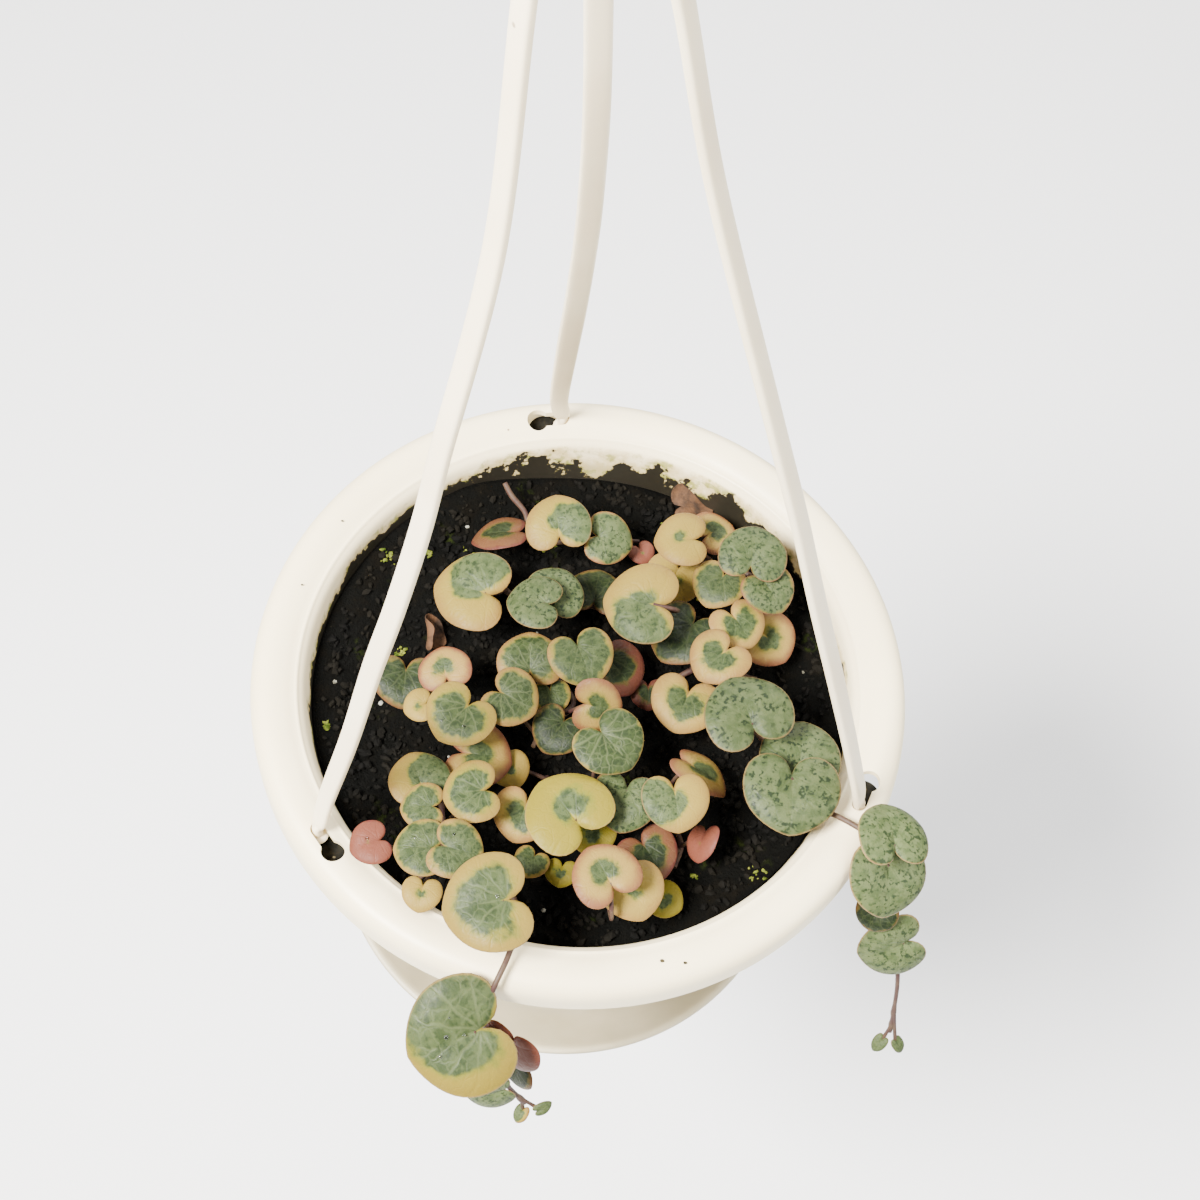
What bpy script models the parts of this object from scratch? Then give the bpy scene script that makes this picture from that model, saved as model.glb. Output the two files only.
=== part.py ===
"""String of hearts in a white plastic hanging pot: pot, saucer, soil, hanger and twelve leafy vines.

Sizes are in millimetres and are turned into metres as each mesh is made. The origin is the centre of the
saucer's flat underside, with +Z up, and the front of the plant faces -Y.
"""

import itertools
import math

import bmesh
import bpy
from mathutils import Matrix, Vector
from mathutils.bvhtree import BVHTree

MM = 0.001

# Pot
RIM_TOP = 116.0
RIM_RADIUS = 75.0
MOUTH_RADIUS = 62.6
FOOT_RADIUS = 46.0
POT_FLOOR_TOP = 7.2
ROUND_STEPS = 48
DRAIN_RADIUS = 3.0
DRAIN_CIRCLE = 30.0

# Saucer
SAUCER_LIP_RADIUS = 60.5
SAUCER_LIP_TOP = 13.5
SAUCER_FLOOR = 1.6

# Keyholes in the rim
KEYHOLE_RADIUS = 2.6
KEYHOLE_ANGLES = {"left": 225.2, "back": 105.2, "right": 345.2}
KEYHOLE_CIRCLE = 69.0
SLOT_RADIUS = 1.6
SLOT_ANGLE = 5.0

# Hanger
HUB_CENTRE = Vector((-10.0, -2.0, RIM_TOP + 262.0))
HUB_RADIUS = 10.5
HUB_THICKNESS = 3.0
HUB_HOLE_RADIUS = 1.7
HUB_HOLE_CIRCLE = 6.6
HOOK_ROD_RADIUS = 2.1
HOOK_BEND_RADIUS = 9.5
HOOK_BEND_HEIGHT = 26.0
STRAP_HALF_WIDTHS = (2.65, 2.15)
STRAP_HALF_THICKNESS = 1.05
STRAP_NECK_RADIUS = 1.15
STRAP_BUTTON_RADIUS = 2.3

# Middle line of each strap, from the rim up, with heights counted from the rim's top
STRAP_PATHS = {
    "left": ((-49.5, -40.7, 9.8), (-42.8, -36.4, 32.6), (-38.2, -32.7, 59.5), (-34.6, -29.6, 80.0),
             (-30.6, -25.9, 104.7), (-27.2, -22.4, 126.6), (-19.4, -15.7, 172.8), (-16.4, -12.2, 220.7)),
    "back": ((-13.2, 65.6, 10.0), (-12.9, 62.6, 21.5), (-11.7, 56.5, 44.5), (-10.0, 47.3, 76.0),
             (-8.8, 39.6, 103.0), (-8.1, 32.7, 126.5), (-7.8, 20.6, 166.5), (-9.0, 10.8, 213.0)),
    "right": ((62.9, -24.0, 10.4), (57.5, -22.1, 30.0), (49.8, -19.1, 56.0), (42.8, -16.4, 79.0),
              (35.8, -13.7, 103.0), (26.6, -10.2, 132.0), (12.0, -4.9, 179.0), (4.0, -3.2, 212.6)),
}

# Soil
SOIL_TOP = 101.0
SOIL_GAP = 0.35
STEM_HOLE_RADIUS = 1.2
STEM_HOLE_DEPTH = 6.0
STEM_HOLE_SIDES = 8

# Plant
STEM_RADIUS = 0.72
STEM_SIDES = 5
PETIOLE_RADIUS = 0.5
PETIOLE_SIDES = 4
PETIOLE_STEPS = 3
BLADE_THICKNESS = 0.9
EDGE_THICKNESS = 0.62
LEAF_GAP = 1.2
PETIOLE_CLEARANCE = 0.85
VIEW_LEAN = 0.52
GRID_STEP = 0.8

# Half of a leaf's outline in shares of its width: across, then along from the notch to the tip
HEART_HALF = (
    (0.00, 0.00), (0.12, -0.15), (0.30, -0.18), (0.46, -0.03), (0.50, 0.18),
    (0.40, 0.43), (0.21, 0.62), (0.00, 0.73),
)
HEART_INNER = ((0.00, 0.10), (0.25, 0.02), (0.29, 0.23), (0.00, 0.52))
HEART_CENTRE = (0.0, 0.26)

# Height above the base at which each layer of leaves starts
LAYER_HEIGHTS = (107.0, 110.0, 114.0, 118.0, 122.0, 125.0)

# Leaves of each vine: x, y, width, heading of the tip in degrees, layer, pitch and roll in degrees.
# A positive pitch drops the tip and a positive roll drops the lobe on the right of the heading.
LEAVES = {
    "vine_top": (
        (11.0, 38.0, 6.5, 307, 0, 10, 0),
        (3.0, 37.0, 13.0, 357, 2, 12, 10),
        (-24.0, 37.0, 15.5, 197, 1, 10, 35),
        (-10.0, 38.0, 15.5, 102, 3, -8, -8),
    ),
    "vine_back": (
        (1.0, 27.0, 14.3, 87, 0, 5, 0),
        (-28.0, 17.0, 19.6, 172, 3, 10, -6),
        (-8.0, 20.0, 13.9, 77, 3, 0, 8),
        (-13.0, 14.0, 14.1, 177, 4, 8, 6),
        (11.0, 17.0, 19.4, 177, 4, 8, -8),
    ),
    "vine_back_right": (
        (19.0, 30.0, 14.2, 257, 1, 12, 0),
        (28.0, 45.0, 12.0, 37, 1, 8, 0),
        (29.0, 28.0, 12.9, 247, 2, 8, 6),
        (19.0, 37.0, 14.1, 187, 3, 8, 0),
        (41.0, 26.0, 12.6, 307, 3, 12, 0),
        (36.0, 34.0, 15.8, 87, 4, -4, 0),
    ),
    "vine_right": (
        (16.0, 1.0, 8.8, 277, 0, 8, 0),
        (43.0, 17.0, 14.5, 317, 1, 12, 0),
        (22.0, 16.0, 17.6, 237, 1, 8, 10),
        (24.0, -4.0, 15.9, 257, 2, 10, 0),
        (35.0, 18.0, 13.5, 307, 2, 10, -8),
        (30.0, 7.0, 14.2, 232, 3, 10, 6),
    ),
    "vine_trail_right": (
        (51.0, -13.0, 18.3, 87, 3, 2, 0),
        (37.0, -6.0, 20.1, 117, 4, 2, 0),
        (49.0, -26.0, 21.4, 272, 4, 8, 0),
    ),
    "vine_centre": (
        (8.0, 5.0, 15.3, 307, 1, 8, -12),
        (-6.0, -6.0, 9.1, 287, 2, 10, 0),
        (-4.0, -14.0, 12.4, 242, 2, 14, 0),
        (5.0, -6.0, 13.0, 7, 2, 6, 48),
        (-12.0, 2.0, 15.0, 97, 3, -6, 0),
        (0.0, 3.0, 15.0, 297, 3, 10, 0),
        (-14.0, -11.0, 14.2, 337, 4, 8, 0),
    ),
    "vine_left": (
        (-40.0, -5.0, 14.9, 272, 1, 10, 0),
        (-36.0, -10.0, 8.2, 207, 1, 8, 0),
        (-20.0, -22.0, 16.7, 357, 2, 6, 0),
        (-31.0, -3.0, 12.2, 107, 3, 0, -10),
        (-26.0, -17.0, 15.9, 237, 4, 10, 0),
    ),
    "vine_left_front": (
        (-28.0, -53.0, 8.7, 267, 1, 8, 0),
        (-41.0, -43.0, 10.1, 207, 1, 6, 0),
        (-33.0, -28.0, 13.7, 117, 2, 4, 0),
        (-31.0, -37.0, 10.9, 187, 3, 8, 0),
        (-30.0, -46.0, 12.9, 187, 3, 8, 0),
        (-21.0, -34.0, 14.3, 197, 4, 8, 0),
        (-21.0, -47.0, 13.3, 347, 4, 6, 0),
    ),
    "vine_centre_front": (
        (-13.0, -23.0, 9.4, 307, 1, 8, 0),
        (7.0, -36.0, 11.1, 287, 1, 8, 0),
        (-9.0, -35.0, 13.7, 257, 2, 10, 0),
        (13.0, -29.0, 15.1, 267, 2, 10, 0),
        (9.0, -19.0, 16.3, 317, 4, 10, 0),
        (0.0, -35.0, 19.9, 137, 4, 4, 0),
    ),
    "vine_right_front": (
        (31.0, -35.0, 10.0, 262, 1, 10, 50),
        (20.0, -39.0, 13.7, 307, 1, 8, 0),
        (30.0, -20.0, 17.0, 327, 2, 8, -45),
        (24.0, -31.0, 14.8, 282, 4, 8, 0),
    ),
    "vine_front": (
        (25.0, -48.0, 8.8, 337, 0, 6, 0),
        (1.0, -46.0, 7.5, 267, 1, 8, 0),
        (17.0, -51.0, 14.2, 297, 3, 10, 0),
        (10.0, -48.0, 15.0, 127, 4, 2, 0),
    ),
    "vine_trail_front": (
        (-6.0, -44.0, 7.9, 247, 1, 8, 0),
        (-14.0, -59.0, 21.0, 197, 5, 8, -6),
    ),
}

# Stems that creep over the soil, starting straight up from their hole
STEMS = {
    "vine_top": ((-17.0, 41.0), (-12.0, 40.0), (-4.0, 41.5), (4.0, 43.0), (10.0, 43.0)),
    "vine_back": ((-22.0, 27.0), (-17.0, 24.0), (-7.0, 25.0), (3.0, 24.0), (11.0, 26.0)),
    "vine_back_right": ((20.0, 46.0), (23.0, 42.0), (30.0, 39.0), (37.0, 38.0), (41.0, 35.0)),
    "vine_right": ((18.0, 6.0), (22.0, 8.0), (29.0, 12.0), (36.0, 11.0), (41.0, 10.0)),
    "vine_trail_right": ((36.0, 3.0), (39.0, 1.0), (44.0, -6.0), (50.0, -15.0), (53.0, -21.0)),
    "vine_centre": ((-5.0, 8.0), (-5.0, 4.0), (-1.0, -2.0), (-7.0, -9.0), (-9.0, -14.0)),
    "vine_left": ((-38.0, 4.0), (-36.0, 0.0), (-32.0, -8.0), (-27.0, -12.0), (-22.0, -15.0)),
    "vine_left_front": ((-30.0, -22.0), (-29.0, -26.0), (-27.0, -34.0), (-26.0, -42.0), (-31.0, -50.0)),
    "vine_centre_front": ((-5.0, -21.0), (-3.0, -24.0), (1.0, -29.0), (5.0, -29.0), (9.0, -25.0)),
    "vine_right_front": ((22.0, -19.0), (23.0, -23.0), (25.0, -29.0), (27.0, -33.0), (26.0, -39.0)),
    "vine_front": ((15.0, -41.5), (13.0, -44.0), (9.0, -46.5), (13.0, -48.5), (20.0, -49.5)),
    "vine_trail_front": ((-12.0, -44.0), (-11.0, -47.0), (-8.0, -52.0), (-6.7, -55.5)),
}

# The two long stems go on over the rim and hang down outside the pot
HANGING_STEMS = {
    "vine_trail_right": (
        (54.8, -25.0, 112.6), (58.8, -27.2, 117.4), (65.0, -30.6, 119.0), (70.4, -32.8, 116.6),
        (73.2, -34.0, 110.5), (74.6, -35.2, 102.0), (77.0, -38.0, 90.0), (81.2, -42.5, 77.0),
        (83.8, -48.0, 66.0), (85.3, -54.5, 50.0),
    ),
    "vine_trail_front": (
        (-6.6, -59.4, 112.0), (-7.1, -63.6, 117.6), (-8.0, -69.0, 119.0), (-9.8, -74.5, 117.8),
        (-11.4, -78.4, 111.0), (-11.4, -79.6, 97.0), (-9.0, -80.4, 80.0), (-6.0, -82.0, 65.0),
        (-1.0, -83.6, 55.0),
    ),
}

# Leaves on the hanging stems: x, y, z, width, heading of the tip, pitch and roll
HANGING_LEAVES = {
    "vine_trail_right": (
        (71.4, -30.8, 121.2, 17.6, 107, 4, 20),
        (72.8, -39.3, 111.6, 19.6, 272, 28, -24),
        (79.0, -43.9, 80.5, 18.4, 198, 14, -60),
        (73.8, -39.6, 90.0, 10.0, 250, 45, 0),
        (83.0, -57.2, 47.5, 6.0, 232, 45, 0),
        (88.0, -57.0, 47.5, 5.6, 318, 45, 0),
    ),
    "vine_trail_front": (
        (-17.0, -86.2, 112.6, 26.0, 206, 10, -28),
        (-5.2, -82.6, 96.0, 15.0, 276, 70, 34),
        (-9.6, -84.4, 62.5, 13.0, 192, 12, -72),
        (-3.8, -82.6, 77.0, 10.5, 280, 65, 48),
        (-1.8, -85.6, 50.5, 6.0, 245, 40, 0),
        (3.4, -84.2, 54.5, 5.4, 35, -10, 40),
    ),
}

COLOURS = {
    "pot_plastic": (0.86, 0.84, 0.79, 1.0),
    "saucer_plastic": (0.84, 0.82, 0.76, 1.0),
    "strap_plastic": (0.86, 0.83, 0.76, 1.0),
    "soil_mix": (0.025, 0.022, 0.018, 1.0),
    "leaf": (0.30, 0.42, 0.22, 1.0),
}


def clear_scene():
    for item in list(bpy.data.objects):
        bpy.data.objects.remove(item, do_unlink=True)


def material(name):
    found = bpy.data.materials.get(name)
    if found:
        return found
    made = bpy.data.materials.new(name)
    made.use_nodes = True
    shader = made.node_tree.nodes["Principled BSDF"]
    shader.inputs["Base Color"].default_value = COLOURS[name]
    shader.inputs["Roughness"].default_value = 0.5
    return made


def build_object(name, points, faces, slot):
    mesh = bpy.data.meshes.new(name)
    mesh.from_pydata([Vector(point) * MM for point in points], [], faces)
    mesh.materials.append(material(slot))
    item = bpy.data.objects.new(name, mesh)
    bpy.context.collection.objects.link(item)
    shape = bmesh.new()
    shape.from_mesh(mesh)
    bmesh.ops.recalc_face_normals(shape, faces=shape.faces)
    shape.to_mesh(mesh)
    shape.free()
    return item


def lathe(name, profile, slot, steps=ROUND_STEPS):
    """Turn a profile of (radius, height) pairs that starts and ends on the axis."""
    points = [(0.0, 0.0, profile[0][1])]
    for radius, height in profile[1:-1]:
        for step in range(steps):
            angle = 2.0 * math.pi * step / steps
            points.append((radius * math.cos(angle), radius * math.sin(angle), height))
    points.append((0.0, 0.0, profile[-1][1]))
    faces = []
    last_ring = 1 + (len(profile) - 3) * steps
    for step in range(steps):
        after = (step + 1) % steps
        faces.append((0, 1 + after, 1 + step))
        faces.append((len(points) - 1, last_ring + step, last_ring + after))
        for ring in range(len(profile) - 3):
            low = 1 + ring * steps
            high = low + steps
            faces.append((low + step, low + after, high + after, high + step))
    return build_object(name, points, faces, slot)


def prism(name, outline, low, high, slot):
    """Raise a flat outline of (x, y) pairs from one height to another."""
    count = len(outline)
    points = [(x, y, low) for x, y in outline] + [(x, y, high) for x, y in outline]
    faces = [tuple(reversed(range(count))), tuple(range(count, 2 * count))]
    for index in range(count):
        after = (index + 1) % count
        faces.append((index, after, count + after, count + index))
    return build_object(name, points, faces, slot)


def circle(centre, radius, sides, turn=0.0):
    angles = [turn + 2.0 * math.pi * side / sides for side in range(sides)]
    return [(centre[0] + radius * math.cos(a), centre[1] + radius * math.sin(a)) for a in angles]


def apply_boolean(target, operation, tool=None, group=None, solver="EXACT"):
    change = target.modifiers.new("change", "BOOLEAN")
    change.operation = operation
    change.solver = solver
    if group:
        change.operand_type = "COLLECTION"
        change.collection = group
    else:
        change.object = tool
    with bpy.context.temp_override(object=target, active_object=target, selected_objects=[target]):
        bpy.ops.object.modifier_apply(modifier=change.name)


def cut(target, cutter):
    cutter.hide_render = True
    cutter.display_type = "WIRE"
    apply_boolean(target, "DIFFERENCE", tool=cutter)
    bpy.data.objects.remove(cutter, do_unlink=True)


def join(target, pieces):
    """Fuse the pieces into the target and leave one body."""
    group = bpy.data.collections.new("pieces")
    bpy.context.scene.collection.children.link(group)
    for piece in pieces:
        bpy.context.collection.objects.unlink(piece)
        group.objects.link(piece)
    apply_boolean(target, "UNION", group=group)
    for piece in pieces:
        bpy.data.objects.remove(piece, do_unlink=True)
    bpy.data.collections.remove(group)


def smooth_path(knots, spacing):
    """Round a line of knots into evenly smooth steps that pass through every knot."""
    knots = [Vector(knot) for knot in knots]
    ends = [knots[0] * 2 - knots[1]] + knots + [knots[-1] * 2 - knots[-2]]
    path = []
    for first, start, finish, last in zip(ends, ends[1:], ends[2:], ends[3:]):
        steps = max(1, round((finish - start).length / spacing))
        for step in range(steps):
            t = step / steps
            path.append(0.5 * (start * 2 + (finish - first) * t
                               + (first * 2 - start * 5 + finish * 4 - last) * t * t
                               + (start * 3 - first - finish * 3 + last) * t * t * t))
    path.append(knots[-1])
    return path


def tube(path, sections, sides, side_axis=None):
    """Points and faces of a closed tube whose sections are (half width, half thickness) pairs."""
    points = []
    across = Vector(side_axis) if side_axis else Vector((0.31, 0.17, 0.93))
    for index, spot in enumerate(path):
        ahead = path[min(index + 1, len(path) - 1)] - path[max(index - 1, 0)]
        ahead.normalize()
        base = Vector(side_axis) if side_axis else across
        across = (base - ahead * base.dot(ahead)).normalized()
        upward = ahead.cross(across)
        wide, thick = sections[index] if isinstance(sections, list) else (sections, sections)
        for side in range(sides):
            angle = 2.0 * math.pi * (side + 0.5) / sides
            points.append(spot + across * (wide * math.cos(angle)) + upward * (thick * math.sin(angle)))
    faces = [tuple(reversed(range(sides)))]
    for ring in range(len(path) - 1):
        for side in range(sides):
            after = (side + 1) % sides
            low = ring * sides
            faces.append((low + side, low + after, low + sides + after, low + sides + side))
    faces.append(tuple(range((len(path) - 1) * sides, len(path) * sides)))
    return points, faces


def build_pot():
    profile = (
        (0.0, 1.9), (6.2, 1.9), (6.2, 3.3), (4.6, 3.3), (4.6, 5.2), (45.2, 5.2), (FOOT_RADIUS, 6.0),
        (64.1, 109.0), (65.0, 112.0), (67.2, 113.5), (70.5, 114.4), (72.8, 113.6), (73.5, 112.2),
        (73.5, 106.4), (RIM_RADIUS, 106.4), (RIM_RADIUS, 113.1), (74.3, 114.7),
        (72.8, 115.7), (70.5, RIM_TOP), (68.0, 115.5), (65.6, 114.5), (63.6, 113.1),
        (MOUTH_RADIUS, 111.2), (62.2, 108.0), (44.5, POT_FLOOR_TOP), (0.0, POT_FLOOR_TOP),
    )
    pot = lathe("pot", profile, "pot_plastic")
    for angle in KEYHOLE_ANGLES.values():
        cut(pot, keyhole_cutter(angle))
    for turn in range(4):
        angle = math.radians(90.0 * turn + 45.0)
        spot = (DRAIN_CIRCLE * math.cos(angle), DRAIN_CIRCLE * math.sin(angle))
        cut(pot, prism("drain", circle(spot, DRAIN_RADIUS, 12), 3.9, 9.0, "pot_plastic"))
    return pot


def keyhole_cutter(angle):
    """Round hole with a narrower slot that runs clockwise from it along the rim."""
    hole = Vector((KEYHOLE_CIRCLE, 0.0))
    slot_turn = math.radians(-SLOT_ANGLE)
    slot = Vector((KEYHOLE_CIRCLE * math.cos(slot_turn), KEYHOLE_CIRCLE * math.sin(slot_turn)))
    half = math.asin(SLOT_RADIUS / KEYHOLE_RADIUS)
    outline = []
    for step in range(17):
        a = -math.pi / 2 + half + (2.0 * math.pi - 2.0 * half) * step / 16
        outline.append((hole.x + KEYHOLE_RADIUS * math.cos(a), hole.y + KEYHOLE_RADIUS * math.sin(a)))
    for step in range(7):
        a = math.pi + math.pi * step / 6
        outline.append((slot.x + SLOT_RADIUS * math.cos(a), slot.y + SLOT_RADIUS * math.sin(a)))
    turn = math.radians(angle)
    turned = [(x * math.cos(turn) - y * math.sin(turn), x * math.sin(turn) + y * math.cos(turn))
              for x, y in outline]
    return prism("keyhole", turned, 112.6, RIM_TOP + 4.0, "pot_plastic")


def build_saucer():
    """Saucer whose raised socket holds the stud under the pot."""
    profile = (
        (0.0, 0.0), (44.0, 0.0), (46.4, 0.6), (58.8, 11.4), (SAUCER_LIP_RADIUS, 12.3),
        (59.9, SAUCER_LIP_TOP), (58.6, 13.2), (44.6, SAUCER_FLOOR),
        (8.6, SAUCER_FLOOR), (8.6, 4.8), (5.0, 4.8), (5.0, 3.65), (6.8, 3.65), (6.8, SAUCER_FLOOR),
        (0.0, SAUCER_FLOOR),
    )
    return lathe("saucer", profile, "saucer_plastic")


def wall_radius(height):
    """Inside radius of the pot's wall."""
    share = (height - POT_FLOOR_TOP) / (108.0 - POT_FLOOR_TOP)
    return 44.5 + (62.2 - 44.5) * share


def build_soil():
    low = POT_FLOOR_TOP + SOIL_GAP
    profile = (
        (0.0, low), (wall_radius(low) - SOIL_GAP, low),
        (wall_radius(SOIL_TOP) - SOIL_GAP, SOIL_TOP), (0.0, SOIL_TOP),
    )
    soil = lathe("soil", profile, "soil_mix")
    for knots in STEMS.values():
        outline = circle(knots[0], STEM_HOLE_RADIUS, STEM_HOLE_SIDES)
        cut(soil, prism("hole", outline, SOIL_TOP - STEM_HOLE_DEPTH, SOIL_TOP + 2.0, "soil_mix"))
    return soil


def hub_spot(name):
    """Where a strap hangs, on the side of the hub that faces the strap's end on the rim."""
    angle = math.radians(KEYHOLE_ANGLES[name] - SLOT_ANGLE)
    return HUB_CENTRE + Vector((math.cos(angle), math.sin(angle), 0.0)) * HUB_HOLE_CIRCLE


def build_hanger():
    half = HUB_THICKNESS / 2
    low, high = HUB_CENTRE.z - half, HUB_CENTRE.z + half
    outline = circle(HUB_CENTRE, HUB_RADIUS, 24)
    hanger = prism("hanger_hook", outline, low, high, "strap_plastic")
    for name in KEYHOLE_ANGLES:
        cut(hanger, prism("hole", circle(hub_spot(name), HUB_HOLE_RADIUS, 12), low - 1, high + 1,
                          "strap_plastic"))
    knots = [(0.0, -0.9), (0.0, 3.5), (-1.2, 8.5), (-4.6, 14.0), (-7.6, 19.0)]
    for degrees in range(190, -31, -20):
        angle = math.radians(degrees)
        knots.append((HOOK_BEND_RADIUS * math.cos(angle),
                      HOOK_BEND_HEIGHT + HOOK_BEND_RADIUS * math.sin(angle)))
    path = [HUB_CENTRE + Vector((x, 0.0, z)) for x, z in knots]
    points, faces = tube(path, HOOK_ROD_RADIUS, 10, (0.0, 1.0, 0.0))
    join(hanger, [build_object("rod", points, faces, "strap_plastic")])
    return hanger


def build_strap(name):
    """One strap: a button under the rim, a neck, the flat band, and a neck and button at the hub."""
    angle = math.radians(KEYHOLE_ANGLES[name] - SLOT_ANGLE)
    foot = Vector((KEYHOLE_CIRCLE * math.cos(angle), KEYHOLE_CIRCLE * math.sin(angle), RIM_TOP))
    band = [Vector((x, y, z + RIM_TOP)) for x, y, z in STRAP_PATHS[name]]
    spot = hub_spot(name)
    hub_low = HUB_CENTRE.z - HUB_THICKNESS / 2
    start, finish = STRAP_HALF_WIDTHS
    thin, neck, button = STRAP_HALF_THICKNESS, STRAP_NECK_RADIUS, STRAP_BUTTON_RADIUS
    path, sections = [], []

    def add(spot_on_path, wide, thick):
        path.append(Vector(spot_on_path))
        sections.append((wide, thick))

    add(foot + Vector((0, 0, -4.6)), button - 0.4, button - 0.4)
    add(foot + Vector((0, 0, -3.4)), button - 0.2, button - 0.2)
    add(foot + Vector((0, 0, -2.7)), neck, neck)
    add(foot + Vector((0, 0, 0.9)), neck, neck)
    toward = (band[0] - foot).normalized()
    add(foot + toward * 1.6, start * 0.80, thin)
    add(foot + toward * 3.0, start, thin)
    line = smooth_path([foot + toward * 4.0] + band, 15.0)
    for index, place in enumerate(line):
        share = index / (len(line) - 1)
        add(place, start + (finish - start) * share, thin)
    below = Vector((spot.x, spot.y, hub_low))
    add(below + Vector((0, 0, -14.0)) + (band[-1] - below).normalized() * 2.0, finish, thin)
    add(below + Vector((0, 0, -3.6)), finish, thin)
    add(below + Vector((0, 0, -2.0)), finish * 0.8, thin)
    add(below + Vector((0, 0, -0.9)), neck, neck)
    add(below + Vector((0, 0, HUB_THICKNESS + 0.6)), neck, neck)
    add(below + Vector((0, 0, HUB_THICKNESS + 1.2)), button, button)
    add(below + Vector((0, 0, HUB_THICKNESS + 2.6)), button - 0.3, button - 0.3)
    points, faces = tube(path, sections, 8, (-math.sin(angle), math.cos(angle), 0.0))
    return build_object("strap_" + name, points, faces, "strap_plastic")


def blade_rise(across, along, width):
    """Height of a blade's middle surface: a low dome with a valley along the midrib and a slight wave."""
    u, v = across / width, along / width - HEART_CENTRE[1]
    dome = -0.30 * (u * u + 0.7 * v * v)
    valley = 0.16 * math.sqrt(u * u + 0.004)
    wave = 0.012 * math.sin(9.0 * v + 4.0 * abs(u))
    return width * (dome + valley + wave)


def heart_points():
    """The outline once round, then the inner ring, then the centre, in shares of the width."""
    right, left = list(HEART_HALF), [(-u, v) for u, v in reversed(HEART_HALF[1:-1])]
    inner_left = [(-u, v) for u, v in reversed(HEART_INNER[1:-1])]
    return right + left, list(HEART_INNER) + inner_left, HEART_CENTRE


def nearest_links(outer, inner):
    """Triangles between the outline and the inner ring, alike on both halves."""
    half_out, half_in = len(outer) // 2, len(inner) // 2
    steps = [(0, 0, 1, 0), (1, 0, 2, 0), (2, 0, 1, None), (2, 1, 3, 1), (3, 1, 4, 1), (4, 1, 2, None),
             (4, 2, 5, 2), (5, 2, 6, 2), (6, 2, 3, None), (6, 3, 7, 3)]
    triangles = []
    for first, ring, second, same in steps:
        if same is None:
            triangles.append((("o", first), ("i", second), ("i", ring)))
        else:
            triangles.append((("o", first), ("o", second), ("i", ring)))
    mirrored = []
    for triangle in triangles:
        turned = []
        for kind, index in triangle:
            count = 2 * (half_out if kind == "o" else half_in)
            turned.append((kind, (count - index) % count))
        mirrored.append(tuple(reversed(turned)))
    return triangles + mirrored


def blade(width):
    """Points and faces of a heart blade whose top and bottom are split into the same triangles."""
    outer, inner, centre = heart_points()
    flat = outer + inner + [centre]
    links = []
    for triangle in nearest_links(outer, inner):
        links.append(tuple(index if kind == "o" else len(outer) + index for kind, index in triangle))
    middle = len(flat) - 1
    for index in range(len(inner)):
        after = (index + 1) % len(inner)
        links.append((len(outer) + index, len(outer) + after, middle))
    points = []
    for side in (1, -1):
        for index, (u, v) in enumerate(flat):
            thick = EDGE_THICKNESS if index < len(outer) else BLADE_THICKNESS
            across, along = u * width, v * width
            height = blade_rise(across, along, width) + side * thick / 2
            points.append(Vector((across, along - HEART_CENTRE[1] * width, height)))
    count = len(flat)
    faces = list(links) + [tuple(count + index for index in reversed(link)) for link in links]
    for index in range(len(outer)):
        after = (index + 1) % len(outer)
        faces.append((index, count + index, count + after))
        faces.append((index, count + after, after))
    return points, faces


def turn_matrix(heading, pitch, roll):
    return (Matrix.Rotation(math.radians(heading - 90.0), 3, "Z")
            @ Matrix.Rotation(math.radians(-pitch), 3, "X")
            @ Matrix.Rotation(math.radians(roll), 3, "Y"))


def inside_heart(u, v):
    outline = heart_points()[0]
    inside = False
    for (u1, v1), (u2, v2) in zip(outline, outline[1:] + outline[:1]):
        if (v1 > v) != (v2 > v) and u < u1 + (u2 - u1) * (v - v1) / (v2 - v1):
            inside = not inside
    return inside


def blade_samples(width, turn):
    """Spots over a turned blade with the heights of its underside and top."""
    spots = []
    steps = max(6, math.ceil(width / 0.7))
    for column in range(-steps, steps + 1):
        for row in range(-steps, 2 * steps):
            u, v = 0.55 * column / steps, 0.5 * row / steps
            if inside_heart(u * 0.94, 0.27 + (v - 0.27) * 0.94):
                rise = blade_rise(u * width, v * width, width)
                along = (v - HEART_CENTRE[1]) * width
                top = turn @ Vector((u * width, along, rise + BLADE_THICKNESS / 2))
                low = turn @ Vector((u * width, along, rise - BLADE_THICKNESS / 2))
                spots.append((top.x, top.y, min(low.z, top.z), max(low.z, top.z)))
    return spots


def rim_height(radius):
    """Top of what already stands under the leaves: soil inside the pot, then the rim."""
    if radius < MOUTH_RADIUS - 1.5:
        return SOIL_TOP + 2.4
    if radius < RIM_RADIUS + 1.0:
        return RIM_TOP - max(0.0, abs(radius - 70.0) - 3.5) * 0.6
    return -100.0


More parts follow.
